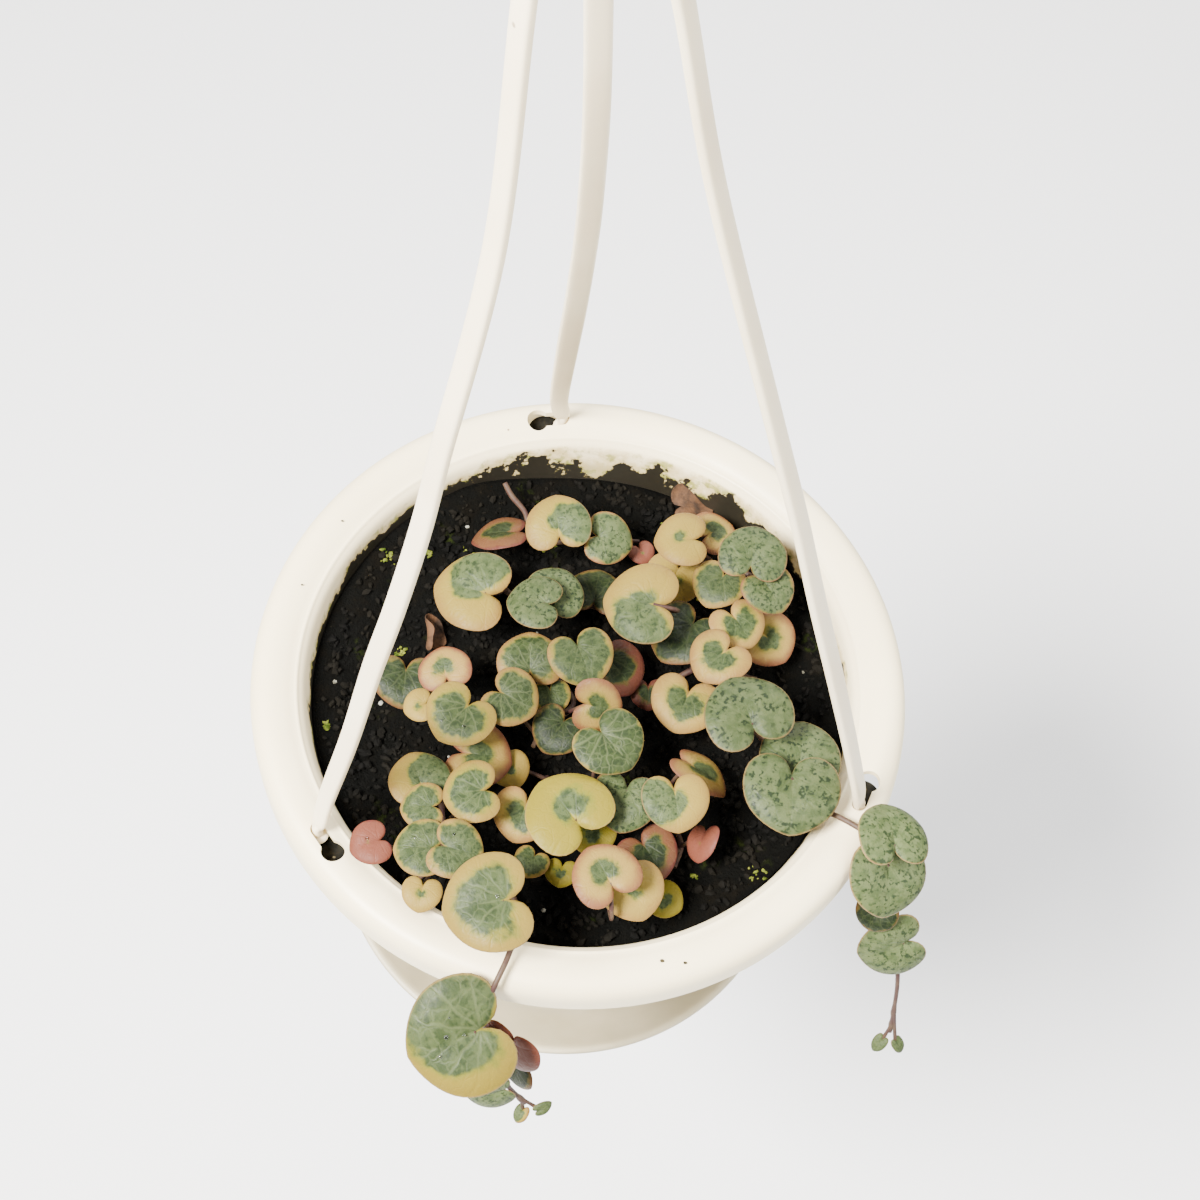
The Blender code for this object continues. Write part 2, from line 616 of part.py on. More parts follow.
def place_leaves():
    """Stack the blades from the bottom layer up, so that none touches another."""
    order = []
    for vine, leaves in LEAVES.items():
        order.extend((leaf[4], index, vine) for index, leaf in enumerate(leaves))
    order.sort(key=lambda entry: (entry[0], list(LEAVES).index(entry[2]), entry[1]))
    heights, placed = {}, {vine: [] for vine in LEAVES}
    for layer, index, vine in order:
        x, y, width, heading, _, pitch, roll = LEAVES[vine][index]
        turn = turn_matrix(heading, pitch, roll)
        spots = blade_samples(width, turn)
        level = LAYER_HEIGHTS[layer]
        shift = 0.0
        for _ in range(4):
            need = LAYER_HEIGHTS[layer]
            for dx, dy, low, _ in spots:
                cell = (round((x + dx) / GRID_STEP), round((y + shift + dy) / GRID_STEP))
                under = heights.get(cell)
                if under is None:
                    under = rim_height(math.hypot(x + dx, y + shift + dy))
                need = max(need, under + LEAF_GAP - low)
            level = need
            shift = -VIEW_LEAN * (level - LAYER_HEIGHTS[layer])
        for dx, dy, _, top in spots:
            column, row = round((x + dx) / GRID_STEP), round((y + shift + dy) / GRID_STEP)
            for near in itertools.product((-1, 0, 1), (-1, 0, 1)):
                cell = (column + near[0], row + near[1])
                heights[cell] = max(heights.get(cell, -100.0), top + level)
        placed[vine].append((Vector((x, y + shift, level)), width, turn))
    for vine, leaves in HANGING_LEAVES.items():
        for x, y, z, width, heading, pitch, roll in leaves:
            placed[vine].append((Vector((x, y, z)), width, turn_matrix(heading, pitch, roll)))
    return placed


def stem_path(vine):
    """A stem comes up out of its hole, creeps just over the soil, and may go over the rim."""
    knots = STEMS[vine]
    rise = (SOIL_TOP - 4.5, SOIL_TOP + 1.5)
    first = Vector((knots[0][0], knots[0][1], rise[0]))
    path = [first, Vector((knots[0][0], knots[0][1], rise[1]))]
    creeping = [(x, y, SOIL_TOP + 2.0 + 0.7 * (index % 2)) for index, (x, y) in enumerate(knots[1:])]
    path += smooth_path(creeping + list(HANGING_STEMS.get(vine, ())), 7.0)
    return path


def bent_line(start, leave, middle, finish):
    """Steps along a curve that leaves the blade one way and comes down on the stem from above."""
    steps = []
    for step in range(PETIOLE_STEPS + 1):
        t = step / PETIOLE_STEPS
        back = 1.0 - t
        steps.append(start * back ** 3 + leave * 3 * back * back * t + middle * 3 * back * t * t
                     + finish * t ** 3)
    return steps


def petiole_choices(centre, width, turn, ends):
    """Curves from the blade's notch to the stem, shortest first."""
    notch = centre + turn @ Vector((0.0, (0.09 - HEART_CENTRE[1]) * width,
                                    blade_rise(0.0, 0.09 * width, width)))
    backward = turn @ Vector((0.0, -1.0, 0.0))
    sideways = turn @ Vector((1.0, 0.0, 0.0))
    downward = turn @ Vector((0.0, 0.0, -1.0))
    choices = []
    for reach, side, drop in itertools.product((0.15, 0.45, 0.9), (0.0, -0.5, 0.5, -1.0, 1.0), (0.25, 0.7)):
        leave = notch + (backward * reach + sideways * side * reach + downward * drop * 0.35) * width
        for finish in ends:
            for lift in (1.5, 6.0, 11.0):
                middle = finish + Vector((0.0, 0.0, lift))
                line = bent_line(notch, leave, middle, finish)
                length = sum((b - a).length for a, b in zip(line, line[1:]))
                choices.append((length, line))
    choices.sort(key=lambda choice: choice[0])
    return [line for _, line in choices]


def clearance(line, tree, limit):
    """Smallest distance from a curve to the shapes in a tree, checked between its steps as well."""
    smallest = limit
    for start, finish in zip(line, line[1:]):
        count = max(1, math.ceil((finish - start).length / 1.2))
        for step in range(count):
            found = tree.find_nearest(start.lerp(finish, step / count), limit)
            if found[0] is not None:
                smallest = min(smallest, found[3])
                if smallest < 0.35:
                    return smallest
    return smallest


def tree_of(shapes):
    points, faces = [], []
    for shape_points, shape_faces in shapes:
        base = len(points)
        points.extend(shape_points)
        faces.extend(tuple(base + index for index in face) for face in shape_faces)
    return BVHTree.FromPolygons(points, faces)


def rim_shape():
    """Ring that stands for the rim when petioles are routed."""
    rings = ((61.6, 100.0), (62.2, 111.2), (66.0, 115.0), (70.5, 116.0), (75.0, 113.1), (75.0, 106.0),
             (64.0, 106.0), (46.0, 6.0))
    points, faces = [], []
    for radius, height in rings:
        points.extend((x, y, height) for x, y in circle((0.0, 0.0), radius, ROUND_STEPS))
    for ring in range(len(rings) - 1):
        for step in range(ROUND_STEPS):
            after = (step + 1) % ROUND_STEPS
            low = ring * ROUND_STEPS
            faces.append((low + step, low + after, low + ROUND_STEPS + after, low + ROUND_STEPS + step))
    return [Vector(point) for point in points], faces


def route_petioles(placed, stems, blades):
    """Give each leaf the shortest petiole that stays clear of the other vines and of its own blades."""
    tubes = {vine: [tube(path, STEM_RADIUS, STEM_SIDES)] for vine, path in stems.items()}
    routed = {vine: [] for vine in placed}
    order = [(placed[vine][index][0].z, vine, index) for vine in placed for index in range(len(placed[vine]))]
    for _, vine, index in sorted(order):
        others = [rim_shape()]
        for other in placed:
            if other != vine:
                others += blades[other] + tubes[other]
        own = [shape for number, shape in enumerate(blades[vine]) if number != index]
        hard, soft = tree_of(others), tree_of(own)
        centre, width, turn = placed[vine][index]
        share = 0.12 + 0.2 * (index % 4)
        ends = [start.lerp(finish, share) for start, finish in zip(stems[vine][1:], stems[vine][2:])]
        ends = [spot for spot in ends if (spot - centre).length < 30.0]
        best, best_score = None, -1.0
        for line in petiole_choices(centre, width, turn, ends):
            if min(spot.z for spot in line[:-1]) < SOIL_TOP + 1.0 and centre.z > SOIL_TOP:
                continue
            far = clearance(line, hard, PETIOLE_CLEARANCE + 0.2)
            if far < 0.35 and best is not None:
                continue
            free = clearance(line, soft, PETIOLE_CLEARANCE + 0.2)
            score = 10.0 * min(far, PETIOLE_CLEARANCE) + min(free, PETIOLE_CLEARANCE)
            if score > best_score:
                best, best_score = line, score
            if far >= PETIOLE_CLEARANCE and free >= PETIOLE_CLEARANCE:
                break
        shape = tube(best, PETIOLE_RADIUS, PETIOLE_SIDES)
        tubes[vine].append(shape)
        routed[vine].append(shape)
        print(f"{vine} {index} clearance score {best_score:.2f}")
    return routed


def build_vines():
    placed = place_leaves()
    stems = {vine: stem_path(vine) for vine in STEMS}
    blades = {}
    for vine, leaves in placed.items():
        blades[vine] = []
        for centre, width, turn in leaves:
            points, faces = blade(width)
            blades[vine].append(([centre + turn @ point for point in points], faces))
    routed = route_petioles(placed, stems, blades)
    for vine in placed:
        points, faces = tube(stems[vine], STEM_RADIUS, STEM_SIDES)
        body = build_object(vine, points, faces, "leaf")
        pieces = []
        for points, faces in blades[vine] + routed[vine]:
            pieces.append(build_object("piece", points, faces, "leaf"))
        join(body, pieces)


def main():
    clear_scene()
    build_pot()
    build_saucer()
    build_soil()
    build_hanger()
    for name in KEYHOLE_ANGLES:
        build_strap(name)
    build_vines()


main()
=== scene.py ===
import itertools
import math
import random

import bmesh
import bpy
import numpy as np
from mathutils import Matrix, Vector
from mathutils.bvhtree import BVHTree


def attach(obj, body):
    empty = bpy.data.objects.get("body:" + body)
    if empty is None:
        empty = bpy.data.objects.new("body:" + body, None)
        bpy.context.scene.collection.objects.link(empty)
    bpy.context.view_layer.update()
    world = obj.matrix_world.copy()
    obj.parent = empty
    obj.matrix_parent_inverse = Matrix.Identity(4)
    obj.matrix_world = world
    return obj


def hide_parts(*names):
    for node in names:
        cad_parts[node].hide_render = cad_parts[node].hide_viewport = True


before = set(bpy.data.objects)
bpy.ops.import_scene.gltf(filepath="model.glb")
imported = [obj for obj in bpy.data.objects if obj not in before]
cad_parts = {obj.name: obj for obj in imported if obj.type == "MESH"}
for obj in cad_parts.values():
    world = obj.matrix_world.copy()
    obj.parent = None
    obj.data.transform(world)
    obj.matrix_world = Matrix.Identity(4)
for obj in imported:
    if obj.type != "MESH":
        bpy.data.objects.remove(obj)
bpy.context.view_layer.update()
mm = 0.001


def deselectAll():
    for item in bpy.context.selected_objects:
        item.select_set(False)


def makeActive(item):
    deselectAll()
    item.select_set(True)
    bpy.context.view_layer.objects.active = item


def applyModifiers(item):
    makeActive(item)
    for modifier in list(item.modifiers):
        bpy.ops.object.modifier_apply(modifier=modifier.name)


def joinInto(name, items):
    deselectAll()
    for item in items:
        item.select_set(True)
    bpy.context.view_layer.objects.active = items[0]
    if len(items) > 1:
        bpy.ops.object.join()
    items[0].name = name
    return items[0]


def smoothShade(item, degrees):
    makeActive(item)
    bpy.ops.object.shade_smooth_by_angle(angle=math.radians(degrees))


def allSmooth(item):
    item.data.polygons.foreach_set("use_smooth", [True] * len(item.data.polygons))


def settle(item):
    # the object goes back to the origin, with its shape left where it is
    makeActive(item)
    bpy.ops.object.transform_apply(location=True, rotation=True, scale=True)


def addCylinder(vertices, radius, depth, place):
    deselectAll()
    bpy.ops.mesh.primitive_cylinder_add(vertices=vertices, radius=radius * mm, depth=depth * mm,
                                        location=place)
    return bpy.context.active_object


def faceOutward(item):
    makeActive(item)
    bpy.ops.object.mode_set(mode="EDIT")
    bpy.ops.mesh.select_all(action="SELECT")
    bpy.ops.mesh.normals_make_consistent(inside=False)
    bpy.ops.object.mode_set(mode="OBJECT")


def addPiece(item, slotName, *nodes):
    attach(item, "root")
    if nodes:
        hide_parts(*nodes)


def meshFrom(name, points, faces):
    mesh = bpy.data.meshes.new(name)
    mesh.from_pydata([tuple(point) for point in points], [], faces)
    item = bpy.data.objects.new(name, mesh)
    bpy.context.scene.collection.objects.link(item)
    return item


class Wire:
    # one node's result, so that results add, subtract, multiply and divide into new nodes

    def __init__(self, sheet, socket):
        self.sheet, self.socket = sheet, socket

    def __add__(self, other):
        return self.sheet.math("ADD", self, other)

    def __sub__(self, other):
        return self.sheet.math("SUBTRACT", self, other)

    def __rsub__(self, other):
        return self.sheet.math("SUBTRACT", other, self)

    def __mul__(self, other):
        return self.sheet.math("MULTIPLY", self, other)

    def __truediv__(self, other):
        return self.sheet.math("DIVIDE", self, other)

    def __abs__(self):
        return self.sheet.math("ABSOLUTE", self)


class Sheet:
    # a material's node tree, with short ways to add and wire nodes
    names = {"colour": "Base Color", "rough": "Roughness", "ior": "IOR", "clear": "Transmission Weight",
             "sub": "Subsurface Weight", "subScale": "Subsurface Scale", "subRadius": "Subsurface Radius",
             "spec": "Specular IOR Level"}

    def __init__(self, name):
        self.material = bpy.data.materials.new(name)
        self.material.use_nodes = True
        self.tree = self.material.node_tree
        self.shader = self.tree.nodes["Principled BSDF"]

    def link(self, source, socket):
        if isinstance(source, Wire):
            self.tree.links.new(source.socket, socket)
        else:
            socket.default_value = (*source, 1.0) if socket.type == "RGBA" else source

    def node(self, kind, *values, **settings):
        node = self.tree.nodes.new(kind)
        for key, value in settings.items():
            setattr(node, key, value)
        for socket, value in zip(node.inputs, values):
            self.link(value, socket)
        return node

    def result(self, kind, *values, **settings):
        return Wire(self, self.node(kind, *values, **settings).outputs[0])

    def math(self, operation, first, second=0.0, clamp=False):
        return self.result("ShaderNodeMath", first, second, operation=operation, use_clamp=clamp)

    def ramp(self, value, low, high, start=0.0, finish=1.0):
        # a soft step from start to finish, which falls where low is above high
        return self.result("ShaderNodeMapRange", value, low, high, start, finish,
                           interpolation_type="SMOOTHSTEP")

    def mix(self, amount, first, second, blend="MIX"):
        node = self.node("ShaderNodeMix", amount, data_type="RGBA", blend_type=blend)
        self.link(first, node.inputs[6])
        self.link(second, node.inputs[7])
        return Wire(self, node.outputs[2])

    def noise(self, vector, scale, detail=3.0, rough=0.55, output="Fac"):
        node = self.node("ShaderNodeTexNoise", vector)
        for name, value in (("Scale", scale), ("Detail", detail), ("Roughness", rough)):
            node.inputs[name].default_value = value
        return Wire(self, node.outputs[output])

    def cells(self, vector, scale, feature="F1"):
        node = self.node("ShaderNodeTexVoronoi", vector, feature=feature)
        node.inputs["Scale"].default_value = scale
        return Wire(self, node.outputs["Distance"])

    def place(self):
        return Wire(self, self.node("ShaderNodeTexCoord").outputs["Object"])

    def split(self, whole, kind="ShaderNodeSeparateXYZ"):
        return [Wire(self, socket) for socket in self.node(kind, whole).outputs]

    def painted(self, layer):
        # the four numbers that a mesh holds for each of its points
        node = self.node("ShaderNodeAttribute", attribute_name=layer)
        return [*self.split(Wire(self, node.outputs["Color"]), "ShaderNodeSeparateColor"),
                Wire(self, node.outputs["Alpha"])]

    def bump(self, height, strength, distance):
        node = self.node("ShaderNodeBump")
        node.inputs["Strength"].default_value = strength
        node.inputs["Distance"].default_value = distance
        self.link(height, node.inputs["Height"])
        self.tree.links.new(node.outputs[0], self.shader.inputs["Normal"])

    def set(self, **values):
        for key, value in values.items():
            self.link(value, self.shader.inputs[self.names[key]])
        return self.material


plastic = {
    # the wall grey on the next line is painted shade, for the wall under the rim
    "potWhite": (0.85, 0.73, 0.47), "shadeWhite": (0.74, 0.62, 0.37), "wallShadeGrey": (0.38, 0.34, 0.22),
    # the two saucer colours are painted shade: much darker than the pot white, for the shade under the pot
    "saucerShadedPale": (0.50, 0.44, 0.30), "saucerShade": (0.38, 0.33, 0.21),
    "strapWhite": (0.83, 0.71, 0.50), "strapShade": (0.70, 0.57, 0.37),
    "dustBrown": (0.20, 0.13, 0.06), "algaeGreen": (0.20, 0.21, 0.025),
    "splash": (0.012, 0.010, 0.006), "stain": (0.42, 0.31, 0.10),
    "potDepth": {"sub": 0.12, "subScale": 0.004, "subRadius": (1.0, 0.9, 0.75)},
    "strapDepth": {"sub": 0.2, "subScale": 0.004, "subRadius": (1.0, 0.88, 0.7)},
}


# Where the pot is soiled, and where its wall below the rim is painted darker as painted shade. Places are in
# metres, the wall's slope is a ratio, and a pair is the two ends of a soft step.
grimeAndShade = {
    "shadedBelowRim": (0.1075, 0.1045), "wallSlope": 0.1756, "wallFace": (0.0443, 0.0439),
    "mouth": (0.0633, 0.0628), "soilLine": 0.1008, "reachAtSide": 0.0026, "reachAtBack": 0.0070,
}


def potPlastic():
    sheet = Sheet("potPlastic")
    place = sheet.place()
    x, y, z = sheet.split(place)
    cloudy = sheet.noise(place, 28.0, 4.0)
    colour = sheet.mix(sheet.ramp(cloudy, 0.35, 0.75, 0.0, 0.35), plastic["potWhite"], plastic["shadeWhite"])
    # painted shade: the wall below the rim is painted much darker than the rim, for the shade it lies in
    # under the rim, with cloudy variation
    wall = sheet.ramp(z, *grimeAndShade["shadedBelowRim"]) * sheet.ramp(cloudy, 0.2, 0.7, 0.7, 1.0)
    colour = sheet.mix(wall * 0.95, colour, plastic["wallShadeGrey"])
    # scattered dust specks
    specks = sheet.ramp(sheet.cells(place, 260.0), 0.10, 0.05)
    rare = sheet.ramp(sheet.noise(place, 60.0, 1.0), 0.66, 0.70)
    colour = sheet.mix(specks * rare, colour, plastic["dustBrown"])
    # soil splashed on the inner wall, highest at the back, over a yellowish stain with green algae
    radius = sheet.math("SQRT", x * x + y * y)
    inside = sheet.ramp(radius - z * grimeAndShade["wallSlope"], *grimeAndShade["wallFace"])
    inside = inside * sheet.ramp(radius, *grimeAndShade["mouth"])
    toBack = (x * soil["backAxis"][0] + y * soil["backAxis"][1]) / radius
    backward = sheet.ramp(toBack, *soil["backRange"])
    bank = (1.0 - backward) * (soil["bank"] * mm)
    reach = backward * grimeAndShade["reachAtBack"] + grimeAndShade["reachAtSide"]
    above = (z - grimeAndShade["soilLine"] - bank) / reach
    ragged, broad = sheet.noise(place, 150.0, 5.0, 0.65), sheet.noise(place, 38.0, 2.0)
    level = ragged * 3.4 + broad * 1.6 - 1.05 - above
    stain = sheet.ramp(level, -0.35, 0.75) * inside
    colour = sheet.mix(stain * 0.75, colour, plastic["stain"])
    dabs = sheet.ramp(sheet.noise(place, 330.0, 3.0), 0.52, 0.60) * stain
    colour = sheet.mix(dabs * 0.8, colour, plastic["algaeGreen"])
    colour = sheet.mix(sheet.ramp(level, 0.66, 0.78) * inside, colour, plastic["splash"])
    sheet.bump(sheet.noise(place, 90.0, 2.0), 0.08, 0.0006)
    return sheet.set(colour=colour, rough=sheet.ramp(cloudy, 0.2, 0.8, 0.36, 0.50), **plastic["potDepth"])


def saucerPlastic():
    sheet = Sheet("saucerPlastic")
    place = sheet.place()
    cloudy = sheet.noise(place, 34.0, 4.0)
    # painted shade: the saucer is painted much darker than the pot, for the shade it lies in under the pot,
    # with cloudy variation
    colour = sheet.mix(sheet.ramp(cloudy, 0.3, 0.7), plastic["saucerShadedPale"], plastic["saucerShade"])
    sheet.bump(sheet.noise(place, 70.0, 2.0), 0.08, 0.0006)
    return sheet.set(colour=colour, rough=sheet.ramp(cloudy, 0.2, 0.8, 0.38, 0.52), **plastic["potDepth"])


def strapPlastic():
    sheet = Sheet("strapPlastic")
    place = sheet.place()
    cloudy = sheet.noise(place, 40.0, 3.0)
    clouds = sheet.ramp(cloudy, 0.35, 0.7, 0.0, 0.45)
    colour = sheet.mix(clouds, plastic["strapWhite"], plastic["strapShade"])
    specks = sheet.ramp(sheet.cells(place, 180.0), 0.10, 0.05)
    rare = sheet.ramp(sheet.noise(place, 45.0, 1.0), 0.68, 0.72)
    colour = sheet.mix(specks * rare, colour, plastic["dustBrown"])
    sheet.bump(sheet.noise(place, 120.0, 2.0), 0.06, 0.0005)
    return sheet.set(colour=colour, rough=sheet.ramp(cloudy, 0.2, 0.8, 0.34, 0.48), **plastic["strapDepth"])


# Half sections in millimetres: radius, then height.
pot = {
    "rimTop": 116.0, "floorTop": 7.2, "steps": 144,
    "under": ((0.0, 1.9), (6.2, 1.9), (6.2, 3.3), (4.6, 3.3), (4.6, 5.2), (45.2, 5.2), (46.0, 6.0),
              (64.1, 109.0), (65.0, 112.0), (67.2, 113.5), (70.5, 114.4), (72.8, 113.6), (73.5, 112.2),
              (73.5, 106.6), (73.7, 106.4)),
    "rim": ((74.8, 106.4), (75.0, 106.6), (75.0, 110.4), (74.9, 112.4), (74.5, 113.9), (73.7, 114.95),
            (72.6, 115.6), (71.5, 115.92), (70.3, 115.97), (69.1, 115.78), (67.6, 115.32), (66.2, 114.72),
            (65.1, 114.0), (64.9, 113.98), (64.6, 113.98), (64.3, 113.8), (64.1, 113.4), (63.8, 113.05),
            (63.3, 112.5), (62.85, 111.6), (62.6, 110.6), (62.3, 108.6)),
    "inner": ((62.2, 108.0), (44.5, 7.2), (0.0, 7.2)),
    "keyholeAngles": {"left": 225.2, "back": 105.2, "right": 345.2},
    "keyholeCircle": 69.0, "keyholeRadius": 2.6, "slotRadius": 1.6, "slotAngle": 5.0,
    "cutDepths": (7.0, 7.1, 7.2),  # unequal, so that no two cutters share an end face
}


saucer = {
    "steps": 144,
    "profile": ((0.0, 0.0), (44.0, 0.0), (45.4, 0.25), (46.4, 0.8), (58.8, 11.3), (59.8, 11.7),
                (60.4, 12.1), (60.5, 12.6), (60.3, 13.2), (59.8, 13.5), (59.2, 13.5), (58.6, 13.2),
                (57.6, 12.4), (46.2, 2.7), (44.6, 1.6), (8.6, 1.6), (8.6, 4.8), (5.0, 4.8), (5.0, 3.65),
                (6.8, 3.65), (6.8, 1.6), (0.0, 1.6)),
}


def spinProfile(name, profile, steps):
    # the half section is drawn as a line of vertices and spun once round
    item = meshFrom(name, [(radius * mm, 0.0, height * mm) for radius, height in profile], [])
    shape = bmesh.new()
    shape.from_mesh(item.data)
    shape.verts.ensure_lookup_table()
    for first, second in zip(shape.verts[:], shape.verts[1:]):
        shape.edges.new((first, second))
    shape.to_mesh(item.data)
    shape.free()
    makeActive(item)
    bpy.ops.object.mode_set(mode="EDIT")
    bpy.ops.mesh.select_all(action="SELECT")
    bpy.ops.mesh.spin(steps=steps, angle=2.0 * math.pi, center=(0.0, 0.0, 0.0), axis=(0.0, 0.0, 1.0))
    bpy.ops.mesh.select_all(action="SELECT")
    bpy.ops.mesh.remove_doubles(threshold=0.00002)
    bpy.ops.mesh.normals_make_consistent(inside=False)
    bpy.ops.object.mode_set(mode="OBJECT")
    return item


def cutWith(item, cutter):
    change = item.modifiers.new("cut", "BOOLEAN")
    change.operation = "DIFFERENCE"
    change.solver = "EXACT"
    change.object = cutter
    applyModifiers(item)
    bpy.data.objects.remove(cutter, do_unlink=True)


def rimSpot(name, turnBack=0.0):
    angle = math.radians(pot["keyholeAngles"][name] - turnBack)
    circle = pot["keyholeCircle"] * mm
    return Vector((circle * math.cos(angle), circle * math.sin(angle), pot["rimTop"] * mm))


def makePot():
    shell = spinProfile("potShell", pot["under"] + pot["rim"] + pot["inner"], pot["steps"])
    holeDepth, endDepth, slotDepth = pot["cutDepths"]
    for name in pot["keyholeAngles"]:
        hole, slotEnd = rimSpot(name), rimSpot(name, pot["slotAngle"])
        cutWith(shell, addCylinder(32, pot["keyholeRadius"], holeDepth, hole))
        cutWith(shell, addCylinder(24, pot["slotRadius"], endDepth, slotEnd))
        run = hole - slotEnd
        deselectAll()
        bpy.ops.mesh.primitive_cube_add(size=1.0, location=(hole + slotEnd) / 2,
                                        rotation=(0.0, 0.0, math.atan2(run.y, run.x)),
                                        scale=(run.length, 2 * pot["slotRadius"] * mm, slotDepth * mm))
        cutWith(shell, bpy.context.active_object)
    smoothShade(shell, 38.0)
    shell.data.materials.clear()
    shell.data.materials.append(potPlastic())
    addPiece(shell, "pot_plastic", "pot")
    print("pot made")


def makeSaucer():
    dish = spinProfile("saucerDish", saucer["profile"], saucer["steps"])
    smoothShade(dish, 38.0)
    dish.data.materials.append(saucerPlastic())
    addPiece(dish, "saucer_plastic", "saucer")
    print("saucer made")


hanger = {
    "hubCentre": Vector((-10.0, -2.0, 378.0)), "hubRadius": 10.5, "hubThickness": 3.0,
    "holeCircle": 6.6, "holeRadius": 1.7, "rodRadius": 2.1, "bendRadius": 9.5, "bendHeight": 26.0,
    "halfWidths": (2.65, 2.15), "halfThickness": 1.05, "neck": 1.15, "button": 2.3, "sides": 20,
    "hubBevel": 0.6, "rodKnots": ((0.0, -0.9), (0.0, 3.5), (-1.2, 8.5), (-4.6, 14.0), (-7.6, 19.0)),
    "rodTip": ((0.35, 0.9), (0.6, 0.68), (0.75, 0.35)),
    "paths": {
        "left": ((-50.6, -40.7, 9.8), (-45.2, -36.4, 32.6), (-39.9, -32.7, 59.5), (-35.3, -29.6, 80.0),
                 (-30.4, -25.9, 104.7), (-26.9, -22.4, 126.6), (-19.4, -15.7, 172.8), (-16.4, -12.2, 220.7)),
        "back": ((-13.2, 65.6, 10.0), (-12.9, 62.6, 21.5), (-11.7, 56.5, 44.5), (-10.0, 47.3, 76.0),
                 (-8.8, 39.6, 103.0), (-8.1, 32.7, 126.5), (-7.8, 20.6, 166.5), (-9.0, 10.8, 213.0)),
        "right": ((62.9, -24.0, 10.4), (57.5, -22.1, 30.0), (49.8, -19.1, 56.0), (42.8, -16.4, 79.0),
                  (35.8, -13.7, 103.0), (26.6, -10.2, 132.0), (12.0, -4.9, 179.0), (4.0, -3.2, 212.6)),
    },
}


def smoothPath(knots, spacing):
    knots = [Vector(knot) for knot in knots]
    ends = [knots[0] * 2 - knots[1]] + knots + [knots[-1] * 2 - knots[-2]]
    path = []
    for first, start, finish, last in zip(ends, ends[1:], ends[2:], ends[3:]):
        steps = max(1, round((finish - start).length / spacing))
        for step in range(steps):
            t = step / steps
            path.append(0.5 * (start * 2 + (finish - first) * t
                               + (first * 2 - start * 5 + finish * 4 - last) * t * t
                               + (start * 3 - first - finish * 3 + last) * t * t * t))
    path.append(knots[-1])
    return path


def bandSection(angle, square):
    # rounded flat section: square 1 is an ellipse, less is boxier
    c, s = math.cos(angle), math.sin(angle)
    return math.copysign(abs(c) ** square, c), math.copysign(abs(s) ** square, s)


def aheadAt(path, index):
    return (path[min(index + 1, len(path) - 1)] - path[max(index - 1, 0)]).normalized()


def ringFaces(rings, sides):
    faces = []
    for low in range(0, (rings - 1) * sides, sides):
        for side in range(sides):
            after = (side + 1) % sides
            faces.append((low + side, low + after, low + sides + after, low + sides + side))
    return faces


def tubeFaces(rings, sides):
    first, last = tuple(reversed(range(sides))), tuple(range((rings - 1) * sides, rings * sides))
    return [first] + ringFaces(rings, sides) + [last]


def sweptBand(name, path, sections, sides, sideAxis):
    points, base = [], Vector(sideAxis)
    for index, (spot, (wide, thick, square)) in enumerate(zip(path, sections)):
        ahead = aheadAt(path, index)
        across = (base - ahead * base.dot(ahead)).normalized()
        upward = ahead.cross(across)
        for side in range(sides):
            c, s = bandSection(2.0 * math.pi * (side + 0.5) / sides, square)
            points.append((spot + across * (wide * c) + upward * (thick * s)) * mm)
    item = meshFrom(name, points, tubeFaces(len(path), sides))
    faceOutward(item)
    return item


def hubSpot(name):
    angle = math.radians(pot["keyholeAngles"][name] - pot["slotAngle"])
    return hanger["hubCentre"] + Vector((math.cos(angle), math.sin(angle), 0.0)) * hanger["holeCircle"]


def makeStrap(name, finish):
    angle = math.radians(pot["keyholeAngles"][name] - pot["slotAngle"])
    foot = rimSpot(name, pot["slotAngle"]) / mm
    band = [Vector((x, y, z + pot["rimTop"])) for x, y, z in hanger["paths"][name]]
    spot = hubSpot(name)
    hubLow = hanger["hubCentre"].z - hanger["hubThickness"] / 2
    wideLow, wideTop = hanger["halfWidths"]
    thin, neck, button = hanger["halfThickness"], hanger["neck"], hanger["button"]
    path, sections = [], []

    def add(place, wide, thick, square=1.0):
        path.append(Vector(place))
        sections.append((wide, thick, square))

    for rise, radius in ((-4.6, button - 0.7), (-4.4, button - 0.3), (-3.6, button - 0.1),
                         (-3.1, button - 0.5), (-2.8, neck), (0.7, neck)):
        add(foot + Vector((0, 0, rise)), radius, radius)
    toward = (band[0] - foot).normalized()
    for along, share in ((1.2, 0.62), (1.7, 0.72), (2.3, 0.78), (3.0, 0.80)):
        add(foot + toward * along, wideLow * share, thin * min(1.0, share + 0.12), 0.7)
    line = smoothPath([foot + toward * 4.0] + band, 4.0)
    for index, place in enumerate(line):
        share = index / (len(line) - 1)
        waist = 0.20 * wideLow * max(0.0, 1.0 - share / 0.30) ** 1.5
        add(place, wideLow + (wideTop - wideLow) * share - waist, thin * 0.92, 0.55)
    below = Vector((spot.x, spot.y, hubLow))
    away = (band[-1] - below).normalized()
    add(below + Vector((0, 0, -14.0)) + away * 2.0, wideTop, thin, 0.62)
    for drop, wide, thick, square in ((-3.6, wideTop, thin, 0.62), (-2.6, wideTop * 0.93, thin, 0.7),
                                      (-1.8, wideTop * 0.75, thin, 0.8), (-1.0, neck, neck, 1.0),
                                      (hanger["hubThickness"] + 0.6, neck, neck, 1.0),
                                      (hanger["hubThickness"] + 0.9, button - 0.3, button - 0.3, 1.0),
                                      (hanger["hubThickness"] + 1.4, button, button, 1.0),
                                      (hanger["hubThickness"] + 2.2, button - 0.3, button - 0.3, 1.0),
                                      (hanger["hubThickness"] + 2.6, button - 1.0, button - 1.0, 1.0)):
        add(below + Vector((0, 0, drop)), wide, thick, square)
    strap = sweptBand("strapBand" + name.capitalize(), path, sections, hanger["sides"],
                      (-math.sin(angle), math.cos(angle), 0.0))
    smoothShade(strap, 50.0)
    strap.data.materials.append(finish)
    addPiece(strap, "strap_plastic", "strap_" + name)


